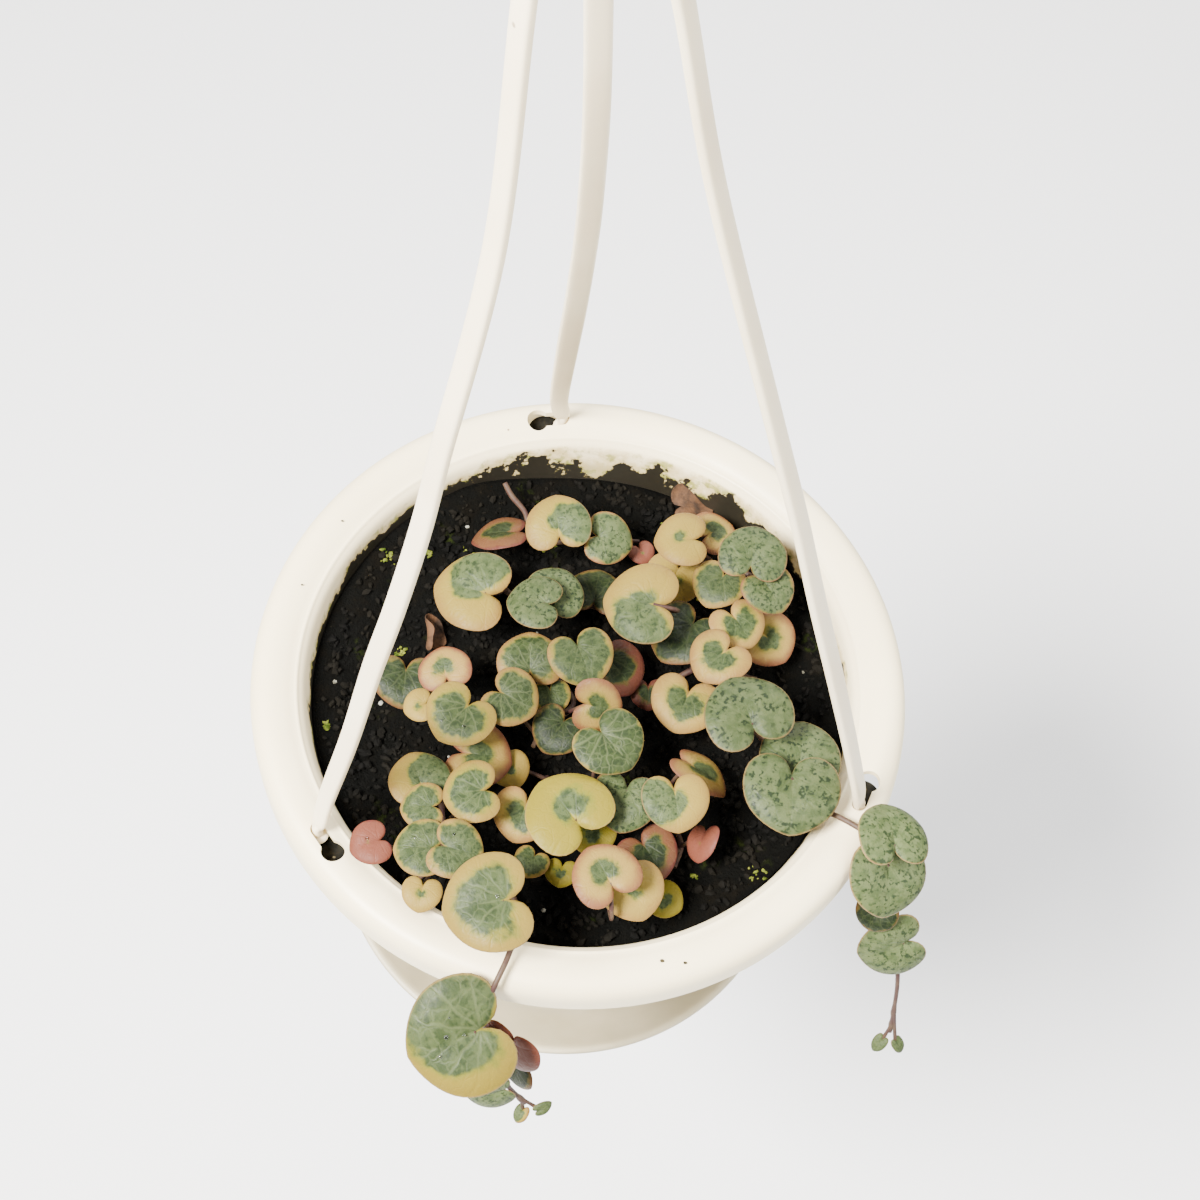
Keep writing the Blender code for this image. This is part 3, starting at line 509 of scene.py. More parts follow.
def makeHanger():
    finish = strapPlastic()
    for name in hanger["paths"]:
        makeStrap(name, finish)
    centre = hanger["hubCentre"]
    disc = addCylinder(72, hanger["hubRadius"], hanger["hubThickness"], centre * mm)
    settle(disc)
    bevel = disc.modifiers.new("edge", "BEVEL")
    bevel.width, bevel.segments = hanger["hubBevel"] * mm, 3
    applyModifiers(disc)
    for name in hanger["paths"]:
        cutWith(disc, addCylinder(24, hanger["holeRadius"], 8.0, hubSpot(name) * mm))
    # the rod leaves the disc, swings aside and bends round into the hook
    knots = list(hanger["rodKnots"])
    for degrees in range(190, -31, -20):
        angle = math.radians(degrees)
        knots.append((hanger["bendRadius"] * math.cos(angle),
                      hanger["bendHeight"] + hanger["bendRadius"] * math.sin(angle)))
    path = smoothPath([centre + Vector((x, 0.0, z)) for x, z in knots], 1.6)
    radii = [hanger["rodRadius"]] * len(path)
    tip, tail = path[-1], (path[-1] - path[-2]).normalized()
    for out, share in hanger["rodTip"]:
        path.append(tip + tail * out)
        radii.append(hanger["rodRadius"] * share)
    rod = sweptBand("hookRod", path, [(radius, radius, 1.0) for radius in radii], hanger["sides"],
                    (0.0, 1.0, 0.0))
    hook = joinInto("hookAndHub", [disc, rod])
    smoothShade(hook, 50.0)
    hook.data.materials.clear()
    hook.data.materials.append(finish)
    addPiece(hook, "strap_plastic", "hanger_hook")
    print("straps, hub and hook made")


soil = {
    "top": 101.0, "gap": 0.35, "rings": 46, "spokes": 150, "seed": 11,
    "wallTop": (108.0, 62.2), "wallFoot": 44.5,
    "crumbs": 3000, "perlite": 34, "moss": 26, "mossBits": 12, "scatter": 0.0595,
    # the bank at the wall dies out towards the back, along this direction
    "bank": 4.6, "backAxis": (0.17, 0.985), "backRange": (0.72, 0.97),
    "black": (0.0013, 0.0013, 0.0009), "brown": (0.0034, 0.0027, 0.0016), "pale": (0.013, 0.011, 0.007),
    "mossy": (0.022, 0.032, 0.004),
    "crumbTones": ((0.0011, 0.0010, 0.0007), (0.0040, 0.0033, 0.0020)),
    "perliteTones": ((0.30, 0.29, 0.24), (0.08, 0.075, 0.055)),
    "mossTones": ((0.030, 0.048, 0.005), (0.12, 0.13, 0.020)),
}


def wallRadius(height):
    topHeight, topRadius = soil["wallTop"]
    share = (height - pot["floorTop"]) / (topHeight - pot["floorTop"])
    return soil["wallFoot"] + (topRadius - soil["wallFoot"]) * share


def smoothStep(low, high, value):
    t = min(1.0, max(0.0, (value - low) / (high - low)))
    return t * t * (3.0 - 2.0 * t)


def bankHeight(x, y):
    # the mix lies higher along the sides of the pot than at the back
    radius = max(1e-6, math.hypot(x, y))
    toBack = (x * soil["backAxis"][0] + y * soil["backAxis"][1]) / radius
    back = smoothStep(*soil["backRange"], toBack)
    front = smoothStep(-0.5, -0.95, y / radius)
    return soil["bank"] * (1.0 - back) * (1.0 - 0.7 * front)


def soilFinish():
    sheet = Sheet("pottingMix")
    place = sheet.place()
    fine = sheet.noise(place, 900.0, 6.0, 0.7)
    lumps = sheet.noise(place, 180.0, 4.0, 0.6)
    colour = sheet.mix(sheet.ramp(lumps, 0.45, 0.75), soil["black"], soil["brown"])
    colour = sheet.mix(sheet.ramp(fine, 0.62, 0.75), colour, soil["pale"])
    mossy = sheet.ramp(sheet.noise(place, 70.0, 3.0), 0.60, 0.70)
    mossy = mossy * sheet.ramp(sheet.noise(place, 500.0, 3.0), 0.45, 0.6)
    colour = sheet.mix(mossy * 0.55, colour, soil["mossy"])
    sheet.bump(fine + lumps, 0.9, 0.0012)
    return sheet.set(colour=colour, rough=sheet.ramp(lumps, 0.3, 0.7, 0.55, 0.95), spec=0.05)


def makeSoil():
    deselectAll()
    outer = (wallRadius(soil["top"]) - soil["gap"]) * mm
    bpy.ops.mesh.primitive_circle_add(vertices=soil["spokes"], radius=outer, fill_type="NOTHING",
                                      location=(0.0, 0.0, soil["top"] * mm))
    surface = bpy.context.active_object
    settle(surface)
    bpy.ops.object.mode_set(mode="EDIT")
    bpy.ops.mesh.select_all(action="SELECT")
    # rings inwards for the surface
    for ring in range(soil["rings"] - 1):
        share = 1.0 - 1.0 / (soil["rings"] - ring)
        bpy.ops.mesh.extrude_region_move()
        bpy.ops.transform.resize(value=(share, share, 1.0), center_override=(0.0, 0.0, soil["top"] * mm))
    bpy.ops.mesh.merge(type="CENTER")
    bpy.ops.object.mode_set(mode="OBJECT")
    rough = random.Random(soil["seed"])
    waves = [(rough.uniform(60, 420), rough.uniform(0, 6.3), rough.uniform(0, 6.3)) for _ in range(14)]
    for vertex in surface.data.vertices:
        x, y = vertex.co.x, vertex.co.y
        lift = 0.0
        for pitch, heading, phase in waves:
            lift += math.sin((x * math.cos(heading) + y * math.sin(heading)) * pitch + phase) * 60.0 / pitch
        radius = math.hypot(x, y)
        edge = max(0.0, 1.0 - (outer - radius) / 0.004)
        lift = min(0.9, max(-1.6, lift * 0.42 + rough.uniform(-0.35, 0.35)))
        bank = bankHeight(x, y) * smoothStep(outer - 0.013, outer, radius)
        vertex.co.z += (lift * (1.0 - edge) - 0.1 + bank) * mm
        grow = 1.0 + bank * 0.175 / (radius / mm) if radius > 0.0 else 1.0
        vertex.co.x, vertex.co.y = x * grow, y * grow
    # the sides and the underside
    low = pot["floorTop"] + soil["gap"]
    makeActive(surface)
    bpy.ops.object.mode_set(mode="EDIT")
    bpy.ops.mesh.select_all(action="DESELECT")
    bpy.ops.mesh.select_mode(type="EDGE")
    bpy.ops.mesh.select_non_manifold()
    bpy.ops.mesh.extrude_region_move(TRANSFORM_OT_translate={"value": (0.0, 0.0, -(soil["top"] - low) * mm)})
    share = (wallRadius(low) - soil["gap"]) * mm / outer
    bpy.ops.transform.resize(value=(share, share, 1.0), center_override=(0.0, 0.0, low * mm))
    bpy.ops.mesh.edge_face_add()
    bpy.ops.mesh.select_all(action="SELECT")
    bpy.ops.mesh.normals_make_consistent(inside=False)
    bpy.ops.mesh.select_mode(type="VERT")
    bpy.ops.object.mode_set(mode="OBJECT")
    surface.name = "pottingMixFill"
    surface.data.materials.append(soilFinish())
    allSmooth(surface)
    addPiece(surface, "soil_mix", "soil")
    return surface


def groundHeight(tree, x, y):
    hit = tree.ray_cast(Vector((x, y, 0.2)), Vector((0.0, 0.0, -1.0)))
    return hit[0].z if hit[0] is not None else soil["top"] * mm


def scatterBits(name, tree, count, sizes, squash, finish, seed, where):
    # one faceted bit, copied with its own mesh, turned and sized by a seeded draw
    deselectAll()
    bpy.ops.mesh.primitive_ico_sphere_add(subdivisions=1, radius=1.0)
    bit = bpy.context.active_object
    corners = np.array([vertex.co[:] for vertex in bit.data.vertices])
    triangles = np.array([face.vertices[:] for face in bit.data.polygons])
    bpy.data.objects.remove(bit, do_unlink=True)
    draw = random.Random(seed)
    points, faces = [], []
    for _ in range(count):
        x, y = where(draw)
        size = draw.uniform(*sizes) * mm
        turn = Matrix.Rotation(draw.uniform(0, 6.28), 3, "Z") @ Matrix.Rotation(draw.uniform(0, 3.1), 3, "X")
        height = groundHeight(tree, x, y) + size * squash * 0.35
        shape = np.array([draw.uniform(0.65, 1.35) for _ in corners])[:, None] * corners
        shape = shape * np.array((draw.uniform(0.7, 1.3), draw.uniform(0.6, 1.0), squash)) * size
        turned = shape @ np.array(turn).T
        faces.extend(triangles + len(points))
        points.extend(turned + np.array((x, y, height)))
    item = meshFrom(name, points, [tuple(int(i) for i in face) for face in faces])
    item.data.materials.append(finish)
    addPiece(item, "soil_mix")


def bitFinish(name, tones, scale, rough):
    sheet = Sheet(name)
    place = sheet.place()
    blend = sheet.ramp(sheet.noise(place, scale, 3.0), 0.35, 0.65)
    sheet.bump(sheet.noise(place, scale * 4, 2.0), 0.4, 0.0003)
    return sheet.set(colour=sheet.mix(blend, *tones), rough=rough, spec=0.08)


def makeSoilBits(surface):
    tree = BVHTree.FromObject(surface, bpy.context.evaluated_depsgraph_get())

    def anywhere(draw):
        angle, radius = draw.uniform(0, 2 * math.pi), math.sqrt(draw.random()) * soil["scatter"]
        return radius * math.cos(angle), radius * math.sin(angle)

    clumpDraw = random.Random(31)
    clumps = []
    for _ in range(soil["moss"]):
        angle, radius = clumpDraw.gauss(math.radians(90), 1.5), clumpDraw.uniform(0.040, 0.0585)
        spread = clumpDraw.uniform(0.0003, 0.0012)
        clumps.append((radius * math.cos(angle), radius * math.sin(angle), spread))

    def inClumps(draw):
        x, y, spread = clumps[draw.randrange(len(clumps))]
        return x + draw.gauss(0.0, spread), y + draw.gauss(0.0, spread)

    scatterBits("soilCrumbs", tree, soil["crumbs"], (0.35, 1.25), 0.75,
                bitFinish("crumbBlack", soil["crumbTones"], 90.0, 0.85), 21, anywhere)
    scatterBits("perliteBits", tree, soil["perlite"], (0.30, 0.80), 0.8,
                bitFinish("perliteGrey", soil["perliteTones"], 300.0, 0.8), 22, anywhere)
    scatterBits("mossTufts", tree, soil["moss"] * soil["mossBits"], (0.22, 0.75), 0.6,
                bitFinish("mossGreen", soil["mossTones"], 400.0, 0.95), 23, inClumps)
    print("soil and what lies in it made")


# Half of a leaf's outline in shares of its width: across, then along from the notch to the tip.
leaf = {
    "half": ((0.00, 0.00), (0.12, -0.15), (0.30, -0.18), (0.46, -0.03), (0.50, 0.18), (0.40, 0.43),
             (0.21, 0.62), (0.00, 0.73)),
    "inner": ((0.00, 0.10), (0.25, 0.02), (0.29, 0.23), (0.00, 0.52)),
    "fine": ((0.00, 0.015), (0.022, -0.050), (0.060, -0.115), (0.140, -0.168), (0.250, -0.188),
             (0.365, -0.153), (0.455, -0.064), (0.500, 0.060), (0.506, 0.190), (0.476, 0.330),
             (0.410, 0.458), (0.312, 0.566), (0.195, 0.648), (0.085, 0.698), (0.00, 0.718)),
    "centre": 0.26, "thickness": 0.9, "edge": 0.62, "segments": 44, "rings": 18,
    "layers": (107.0, 110.0, 114.0, 118.0, 122.0, 125.0),
    "gap": 1.2, "lean": 0.52, "grid": 0.8, "budWidth": 0.60,
}


stemSizes = {"stem": 0.72, "petiole": 0.5, "stemSides": 5, "petioleSides": 4, "petioleSteps": 3,
             "clearance": 0.85, "roundSides": 4, "petioleRings": 12}


# How a leaf is painted: size of the green middle, lean of the green to the right of the heading (-1 to 1),
# pink at the margin, yellow against cream, grey-sage (0) to deep green (1), flecks, veins, brightness.
paints = {
    "mottled": (1.14, 0.0, 0.25, 0.1, 0.05, 1.0, 0.10, 0.86),
    "mottledPale": (1.14, 0.0, 0.25, 0.1, 0.05, 0.9, 0.10, 1.25),
    "mottledPink": (0.98, 0.0, 0.75, 0.1, 0.10, 0.9, 0.15, 0.95),
    "green": (0.86, 0.0, 0.25, 0.3, 0.45, 0.5, 0.35, 0.9),
    "veined": (0.80, 0.0, 0.45, 0.3, 0.65, 0.3, 0.9, 0.85),
    "veinedCream": (0.68, 0.0, 0.15, 0.65, 0.60, 0.30, 0.8, 0.92),
    "veinedHalf": (0.86, 0.42, 0.10, 0.75, 0.50, 0.35, 0.85, 0.90),
    "netted": (1.05, 0.0, 0.05, 0.3, 0.80, 0.1, 1.0, 0.85),
    "creamRight": (0.52, 0.75, 0.25, 0.55, 0.25, 0.7, 0.35, 1.0),
    "creamLeft": (0.52, -0.75, 0.25, 0.55, 0.25, 0.7, 0.35, 1.0),
    "creamStripe": (0.56, 0.0, 0.40, 0.25, 0.65, 0.5, 0.4, 1.0),
    "cream": (0.20, 0.0, 0.20, 0.45, 0.35, 0.4, 0.2, 1.05),
    "creamPink": (0.44, 0.0, 0.78, 0.15, 0.55, 0.4, 0.3, 0.86),
    "yellow": (0.34, 0.25, 0.05, 1.0, 0.45, 0.5, 0.15, 1.05),
    "pink": (0.05, 0.0, 1.0, 0.0, 0.40, 0.2, 0.3, 0.85),
    "darkPink": (0.55, 0.0, 1.0, 0.0, 0.90, 0.2, 0.5, 0.55),
    "dark": (0.85, 0.0, 0.65, 0.0, 0.95, 0.3, 0.6, 0.50),
    "bud": (1.20, 0.0, 0.30, 0.9, 0.30, 0.0, 0.2, 1.05),
    "budPale": (0.75, 0.55, 0.50, 0.6, 0.20, 0.0, 0.2, 1.15),
}


# Leaves of each vine: x, y, width, heading of the tip, layer, pitch, roll, then the paint.
leaves = {
    "vine_top": (
        (11.0, 38.0, 6.5, 307, 0, 10, 0, "pink"),
        (3.0, 37.0, 13.0, 357, 2, 12, 10, "mottledPink"),
        (-24.0, 37.0, 15.5, 197, 1, 10, 35, "darkPink"),
        (-10.0, 38.0, 15.5, 102, 3, -8, -8, "creamRight"),
    ),
    "vine_back": (
        (1.0, 27.0, 14.3, 87, 0, 5, 0, "dark"),
        (-28.0, 17.0, 19.6, 172, 3, 10, -6, "creamRight"),
        (-8.0, 20.0, 13.9, 77, 3, 0, 8, "mottled"),
        (-13.0, 14.0, 14.1, 177, 4, 8, 6, "mottled"),
        (11.0, 17.0, 19.4, 177, 4, 8, -8, "creamLeft"),
    ),
    "vine_back_right": (
        (19.0, 30.0, 14.2, 257, 1, 12, 0, "cream"),
        (28.0, 45.0, 12.0, 37, 1, 8, 0, "creamPink"),
        (29.0, 28.0, 12.9, 247, 2, 8, 6, "green"),
        (19.0, 37.0, 14.1, 187, 3, 8, 0, "cream"),
        (41.0, 26.0, 12.6, 307, 3, 12, 0, "mottledPink"),
        (36.0, 34.0, 15.8, 87, 4, -4, 0, "mottledPink"),
    ),
    "vine_right": (
        (16.0, 1.0, 8.8, 277, 0, 8, 0, "darkPink"),
        (43.0, 17.0, 14.5, 317, 1, 12, 0, "creamPink"),
        (22.0, 16.0, 17.6, 237, 1, 8, 10, "dark"),
        (24.0, -4.0, 15.9, 257, 2, 10, 0, "creamStripe"),
        (35.0, 18.0, 13.5, 307, 2, 10, -8, "creamStripe"),
        (30.0, 7.0, 14.2, 232, 3, 10, 6, "creamStripe"),
    ),
    "vine_trail_right": (
        (51.0, -13.0, 18.3, 87, 3, 2, 0, "mottled"),
        (37.0, -6.0, 20.1, 117, 4, 2, 0, "mottled"),
        (49.0, -26.0, 21.4, 272, 4, 8, 0, "mottled"),
    ),
    "vine_centre": (
        (8.0, 5.0, 15.3, 307, 1, 8, -12, "darkPink"),
        (-6.0, -6.0, 9.1, 287, 2, 10, 0, "green"),
        (-4.0, -14.0, 12.4, 242, 2, 14, 0, "dark"),
        (5.0, -6.0, 13.0, 7, 2, 6, 48, "creamPink"),
        (-12.0, 2.0, 15.0, 97, 3, -6, 0, "veined"),
        (0.0, 3.0, 15.0, 297, 3, 10, 0, "green"),
        (-14.0, -11.0, 14.2, 337, 4, 8, 0, "veined"),
    ),
    "vine_left": (
        (-40.0, -5.0, 14.9, 272, 1, 10, 0, "dark"),
        (-36.0, -10.0, 8.2, 207, 1, 8, 0, "cream"),
        (-20.0, -22.0, 16.7, 357, 2, 6, 0, "creamPink"),
        (-31.0, -3.0, 12.2, 107, 3, 0, -10, "creamPink"),
        (-26.0, -17.0, 15.9, 237, 4, 10, 0, "veinedCream"),
    ),
    "vine_left_front": (
        (-28.0, -53.0, 8.7, 267, 1, 8, 0, "cream"),
        (-41.0, -43.0, 10.1, 207, 1, 6, 0, "pink"),
        (-33.0, -28.0, 13.7, 117, 2, 4, 0, "creamRight"),
        (-31.0, -37.0, 10.9, 187, 3, 8, 0, "green"),
        (-30.0, -46.0, 12.9, 187, 3, 8, 0, "green"),
        (-21.0, -34.0, 14.3, 197, 4, 8, 0, "veinedCream"),
        (-21.0, -47.0, 13.3, 347, 4, 6, 0, "green"),
    ),
    "vine_centre_front": (
        (-13.0, -23.0, 9.4, 307, 1, 8, 0, "cream"),
        (7.0, -36.0, 11.1, 287, 1, 8, 0, "yellow"),
        (-9.0, -35.0, 13.7, 257, 2, 10, 0, "creamStripe"),
        (13.0, -29.0, 15.1, 267, 2, 10, 0, "mottledPink"),
        (9.0, -19.0, 16.3, 317, 4, 10, 0, "netted"),
        (0.0, -35.0, 19.9, 137, 4, 4, 0, "yellow"),
    ),
    "vine_right_front": (
        (31.0, -35.0, 10.0, 262, 1, 10, 50, "pink"),
        (20.0, -39.0, 13.7, 307, 1, 8, 0, "darkPink"),
        (30.0, -20.0, 17.0, 327, 2, 8, -45, "creamPink"),
        (24.0, -31.0, 14.8, 282, 4, 8, 0, "creamRight"),
    ),
    "vine_front": (
        (25.0, -48.0, 8.8, 337, 0, 6, 0, "yellow"),
        (1.0, -46.0, 7.5, 267, 1, 8, 0, "yellow"),
        (17.0, -51.0, 14.2, 297, 3, 10, 0, "cream"),
        (10.0, -48.0, 15.0, 127, 4, 2, 0, "creamPink"),
    ),
    "vine_trail_front": (
        (-6.0, -44.0, 7.9, 247, 1, 8, 0, "green"),
        (-14.0, -59.0, 21.0, 197, 5, 8, -6, "veinedCream"),
    ),
}


# Stems that creep over the potting mix, starting straight up from their hole.
stems = {
    "vine_top": ((-17.0, 41.0), (-12.0, 40.0), (-4.0, 41.5), (4.0, 43.0), (10.0, 43.0)),
    "vine_back": ((-22.0, 27.0), (-17.0, 24.0), (-7.0, 25.0), (3.0, 24.0), (11.0, 26.0)),
    "vine_back_right": ((20.0, 46.0), (23.0, 42.0), (30.0, 39.0), (37.0, 38.0), (41.0, 35.0)),
    "vine_right": ((18.0, 6.0), (22.0, 8.0), (29.0, 12.0), (36.0, 11.0), (41.0, 10.0)),
    "vine_trail_right": ((36.0, 3.0), (39.0, 1.0), (44.0, -6.0), (50.0, -15.0), (53.0, -21.0)),
    "vine_centre": ((-5.0, 8.0), (-5.0, 4.0), (-1.0, -2.0), (-7.0, -9.0), (-9.0, -14.0)),
    "vine_left": ((-38.0, 4.0), (-36.0, 0.0), (-32.0, -8.0), (-27.0, -12.0), (-22.0, -15.0)),
    "vine_left_front": ((-30.0, -22.0), (-29.0, -26.0), (-27.0, -34.0), (-26.0, -42.0), (-31.0, -50.0)),
    "vine_centre_front": ((-5.0, -21.0), (-3.0, -24.0), (1.0, -29.0), (5.0, -29.0), (9.0, -25.0)),
    "vine_right_front": ((22.0, -19.0), (23.0, -23.0), (25.0, -29.0), (27.0, -33.0), (26.0, -39.0)),
    "vine_front": ((15.0, -41.5), (13.0, -44.0), (9.0, -46.5), (13.0, -48.5), (20.0, -49.5)),
    "vine_trail_front": ((-12.0, -44.0), (-11.0, -47.0), (-8.0, -52.0), (-6.7, -55.5)),
}


# The two long stems go on over the rim and hang down outside the pot.
hangingStems = {
    "vine_trail_right": (
        (54.8, -25.0, 112.6), (58.8, -27.2, 117.4), (65.0, -30.6, 119.0), (70.4, -32.8, 116.6),
        (73.2, -34.0, 110.5), (74.6, -35.2, 102.0), (77.0, -38.0, 90.0), (81.2, -42.5, 77.0),
        (83.8, -48.0, 66.0), (85.3, -54.5, 50.0),
    ),
    "vine_trail_front": (
        (-6.6, -59.4, 112.0), (-7.1, -63.6, 117.6), (-8.0, -69.0, 119.0), (-9.8, -74.5, 117.8),
        (-11.4, -78.4, 111.0), (-11.4, -79.6, 97.0), (-9.0, -80.4, 80.0), (-6.0, -82.0, 65.0),
        (-1.0, -83.6, 55.0),
    ),
}


# Leaves on the hanging stems: x, y, z, width, heading of the tip, pitch, roll and paint.
hangingLeaves = {
    "vine_trail_right": (
        (71.4, -30.8, 121.2, 17.6, 107, 4, 20, "mottledPale"),
        (72.8, -39.3, 111.6, 19.6, 272, 28, -24, "mottledPale"),
        (79.0, -43.9, 80.5, 18.4, 198, 14, -60, "mottledPale"),
        (73.8, -39.6, 90.0, 10.0, 250, 45, 0, "dark"),
        (83.0, -57.2, 47.5, 6.0, 232, 45, 0, "bud"),
        (88.0, -57.0, 47.5, 5.6, 318, 45, 0, "bud"),
    ),
    "vine_trail_front": (
        (-17.0, -86.2, 112.6, 26.0, 206, 10, -28, "veinedHalf"),
        (-5.2, -82.6, 96.0, 15.0, 276, 70, 34, "pink"),
        (-9.6, -84.4, 62.5, 13.0, 192, 12, -72, "mottledPale"),
        (-3.8, -82.6, 77.0, 10.5, 280, 65, 48, "dark"),
        (-1.8, -85.6, 50.5, 6.0, 245, 40, 0, "budPale"),
        (3.4, -84.2, 54.5, 5.4, 35, -10, 40, "bud"),
    ),
}


def bladeRise(across, along, width):
    u, v = across / width, along / width - leaf["centre"]
    dome = -0.30 * (u * u + 0.7 * v * v)
    valley = 0.16 * math.sqrt(u * u + 0.004)
    wave = 0.012 * math.sin(9.0 * v + 4.0 * abs(u))
    return width * (dome + valley + wave)


def heartOutline():
    right = list(leaf["half"])
    return right + [(-u, v) for u, v in reversed(leaf["half"][1:-1])]


def insideHeart(u, v):
    outline, inside = heartOutline(), False
    for (u1, v1), (u2, v2) in zip(outline, outline[1:] + outline[:1]):
        if (v1 > v) != (v2 > v) and u < u1 + (u2 - u1) * (v - v1) / (v2 - v1):
            inside = not inside
    return inside


def turnMatrix(heading, pitch, roll):
    return (Matrix.Rotation(math.radians(heading - 90.0), 3, "Z")
            @ Matrix.Rotation(math.radians(-pitch), 3, "X")
            @ Matrix.Rotation(math.radians(roll), 3, "Y"))


def bladeSamples(width, turn):
    spots = []
    steps = max(6, math.ceil(width / 0.7))
    for column in range(-steps, steps + 1):
        for row in range(-steps, 2 * steps):
            u, v = 0.55 * column / steps, 0.5 * row / steps
            if insideHeart(u * 0.94, 0.27 + (v - 0.27) * 0.94):
                rise = bladeRise(u * width, v * width, width)
                along = (v - leaf["centre"]) * width
                top = turn @ Vector((u * width, along, rise + leaf["thickness"] / 2))
                low = turn @ Vector((u * width, along, rise - leaf["thickness"] / 2))
                spots.append((top.x, top.y, min(low.z, top.z), max(low.z, top.z)))
    return spots


def rimHeight(radius):
    if radius < 61.1:
        return soil["top"] + 2.4
    if radius < 76.0:
        return pot["rimTop"] - max(0.0, abs(radius - 70.0) - 3.5) * 0.6
    return -100.0


def placeLeaves():
    # blades are stacked from the lowest layer up, so that none touches another
    order = []
    for vine, table in leaves.items():
        order.extend((entry[4], index, vine) for index, entry in enumerate(table))
    order.sort(key=lambda entry: (entry[0], list(leaves).index(entry[2]), entry[1]))
    heights, placed = {}, {vine: [] for vine in leaves}
    for layer, index, vine in order:
        x, y, width, heading, _, pitch, roll, paint = leaves[vine][index]
        turn = turnMatrix(heading, pitch, roll)
        spots = bladeSamples(width, turn)
        shift = 0.0
        for _ in range(4):
            level = leaf["layers"][layer]
            for dx, dy, low, _ in spots:
                cell = (round((x + dx) / leaf["grid"]), round((y + shift + dy) / leaf["grid"]))
                under = heights.get(cell)
                if under is None:
                    under = rimHeight(math.hypot(x + dx, y + shift + dy))
                level = max(level, under + leaf["gap"] - low)
            shift = -leaf["lean"] * (level - leaf["layers"][layer])
        for dx, dy, _, top in spots:
            column, row = round((x + dx) / leaf["grid"]), round((y + shift + dy) / leaf["grid"])
            for near in itertools.product((-1, 0, 1), (-1, 0, 1)):
                cell = (column + near[0], row + near[1])
                heights[cell] = max(heights.get(cell, -100.0), top + level)
        placed[vine].append((Vector((x, y + shift, level)), width, turn, paint))
    for vine, table in hangingLeaves.items():
        for x, y, z, width, heading, pitch, roll, paint in table:
            placed[vine].append((Vector((x, y, z)), width, turnMatrix(heading, pitch, roll), paint))
    return placed


def stemPath(vine):
    knots = stems[vine]
    path = [Vector((knots[0][0], knots[0][1], soil["top"] - 4.5)),
            Vector((knots[0][0], knots[0][1], soil["top"] + 1.5))]
    creeping = [(x, y, soil["top"] + 2.0 + 0.7 * (index % 2)) for index, (x, y) in enumerate(knots[1:])]
    return path + smoothPath(creeping + list(hangingStems.get(vine, ())), 7.0)


def plainTube(path, radius, sides):
    points, across = [], Vector((0.31, 0.17, 0.93))
    for index, spot in enumerate(path):
        ahead = aheadAt(path, index)
        across = (across - ahead * across.dot(ahead)).normalized()
        upward = ahead.cross(across)
        for side in range(sides):
            angle = 2.0 * math.pi * (side + 0.5) / sides
            points.append(spot + across * (radius * math.cos(angle)) + upward * (radius * math.sin(angle)))
    return points, tubeFaces(len(path), sides)


def bladeShape(width):
    # the plain blade that petioles are routed round
    right, inner = heartOutline(), list(leaf["inner"])
    inner += [(-u, v) for u, v in reversed(leaf["inner"][1:-1])]
    flat = right + inner + [(0.0, leaf["centre"])]
    steps = [(0, 0, 1, 0), (1, 0, 2, 0), (2, 0, 1, None), (2, 1, 3, 1), (3, 1, 4, 1), (4, 1, 2, None),
             (4, 2, 5, 2), (5, 2, 6, 2), (6, 2, 3, None), (6, 3, 7, 3)]
    links = []
    for first, ring, second, same in steps:
        corners = ((0, first), (1 if same is None else 0, second), (1, ring))
        mirrored = [(kind, (len(inner) - index) % len(inner) if kind else (len(right) - index) % len(right))
                    for kind, index in corners]
        for triangle in (corners, reversed(mirrored)):
            links.append(tuple(index + kind * len(right) for kind, index in triangle))
    for index in range(len(inner)):
        links.append((len(right) + index, len(right) + (index + 1) % len(inner), len(flat) - 1))
    points = []
    for side in (1, -1):
        for index, (u, v) in enumerate(flat):
            thick = leaf["edge"] if index < len(right) else leaf["thickness"]
            points.append(Vector((u * width, (v - leaf["centre"]) * width,
                                  bladeRise(u * width, v * width, width) + side * thick / 2)))
    count = len(flat)
    faces = links + [tuple(count + index for index in reversed(link)) for link in links]
    for index in range(len(right)):
        after = (index + 1) % len(right)
        faces.append((index, count + index, count + after))
        faces.append((index, count + after, after))
    return points, faces


def bentLine(ends, steps):
    start, leave, middle, finish = ends
    line = []
    for step in range(steps + 1):
        t = step / steps
        back = 1.0 - t
        line.append(start * back ** 3 + leave * 3 * back * back * t + middle * 3 * back * t * t
                    + finish * t ** 3)
    return line


def petioleChoices(centre, width, turn, stops):
    rise = bladeRise(0.0, 0.09 * width, width)
    notch = centre + turn @ Vector((0.0, (0.09 - leaf["centre"]) * width, rise))
    backward = turn @ Vector((0.0, -1.0, 0.0))
    sideways = turn @ Vector((1.0, 0.0, 0.0))
    downward = turn @ Vector((0.0, 0.0, -1.0))
    choices = []
    for reach, side, drop in itertools.product((0.15, 0.45, 0.9), (0.0, -0.5, 0.5, -1.0, 1.0), (0.25, 0.7)):
        leave = notch + (backward * reach + sideways * side * reach + downward * drop * 0.35) * width
        for finish in stops:
            for lift in (1.5, 6.0, 11.0):
                ends = (notch, leave, finish + Vector((0.0, 0.0, lift)), finish)
                line = bentLine(ends, stemSizes["petioleSteps"])
                choices.append((sum((b - a).length for a, b in zip(line, line[1:])), line, ends))
    choices.sort(key=lambda choice: choice[0])
    return choices


def clearanceOf(line, tree, limit):
    smallest = limit
    for start, finish in zip(line, line[1:]):
        count = max(1, math.ceil((finish - start).length / 1.2))
        for step in range(count):
            found = tree.find_nearest(start.lerp(finish, step / count), limit)
            if found[0] is not None:
                smallest = min(smallest, found[3])
                if smallest < 0.35:
                    return smallest
    return smallest


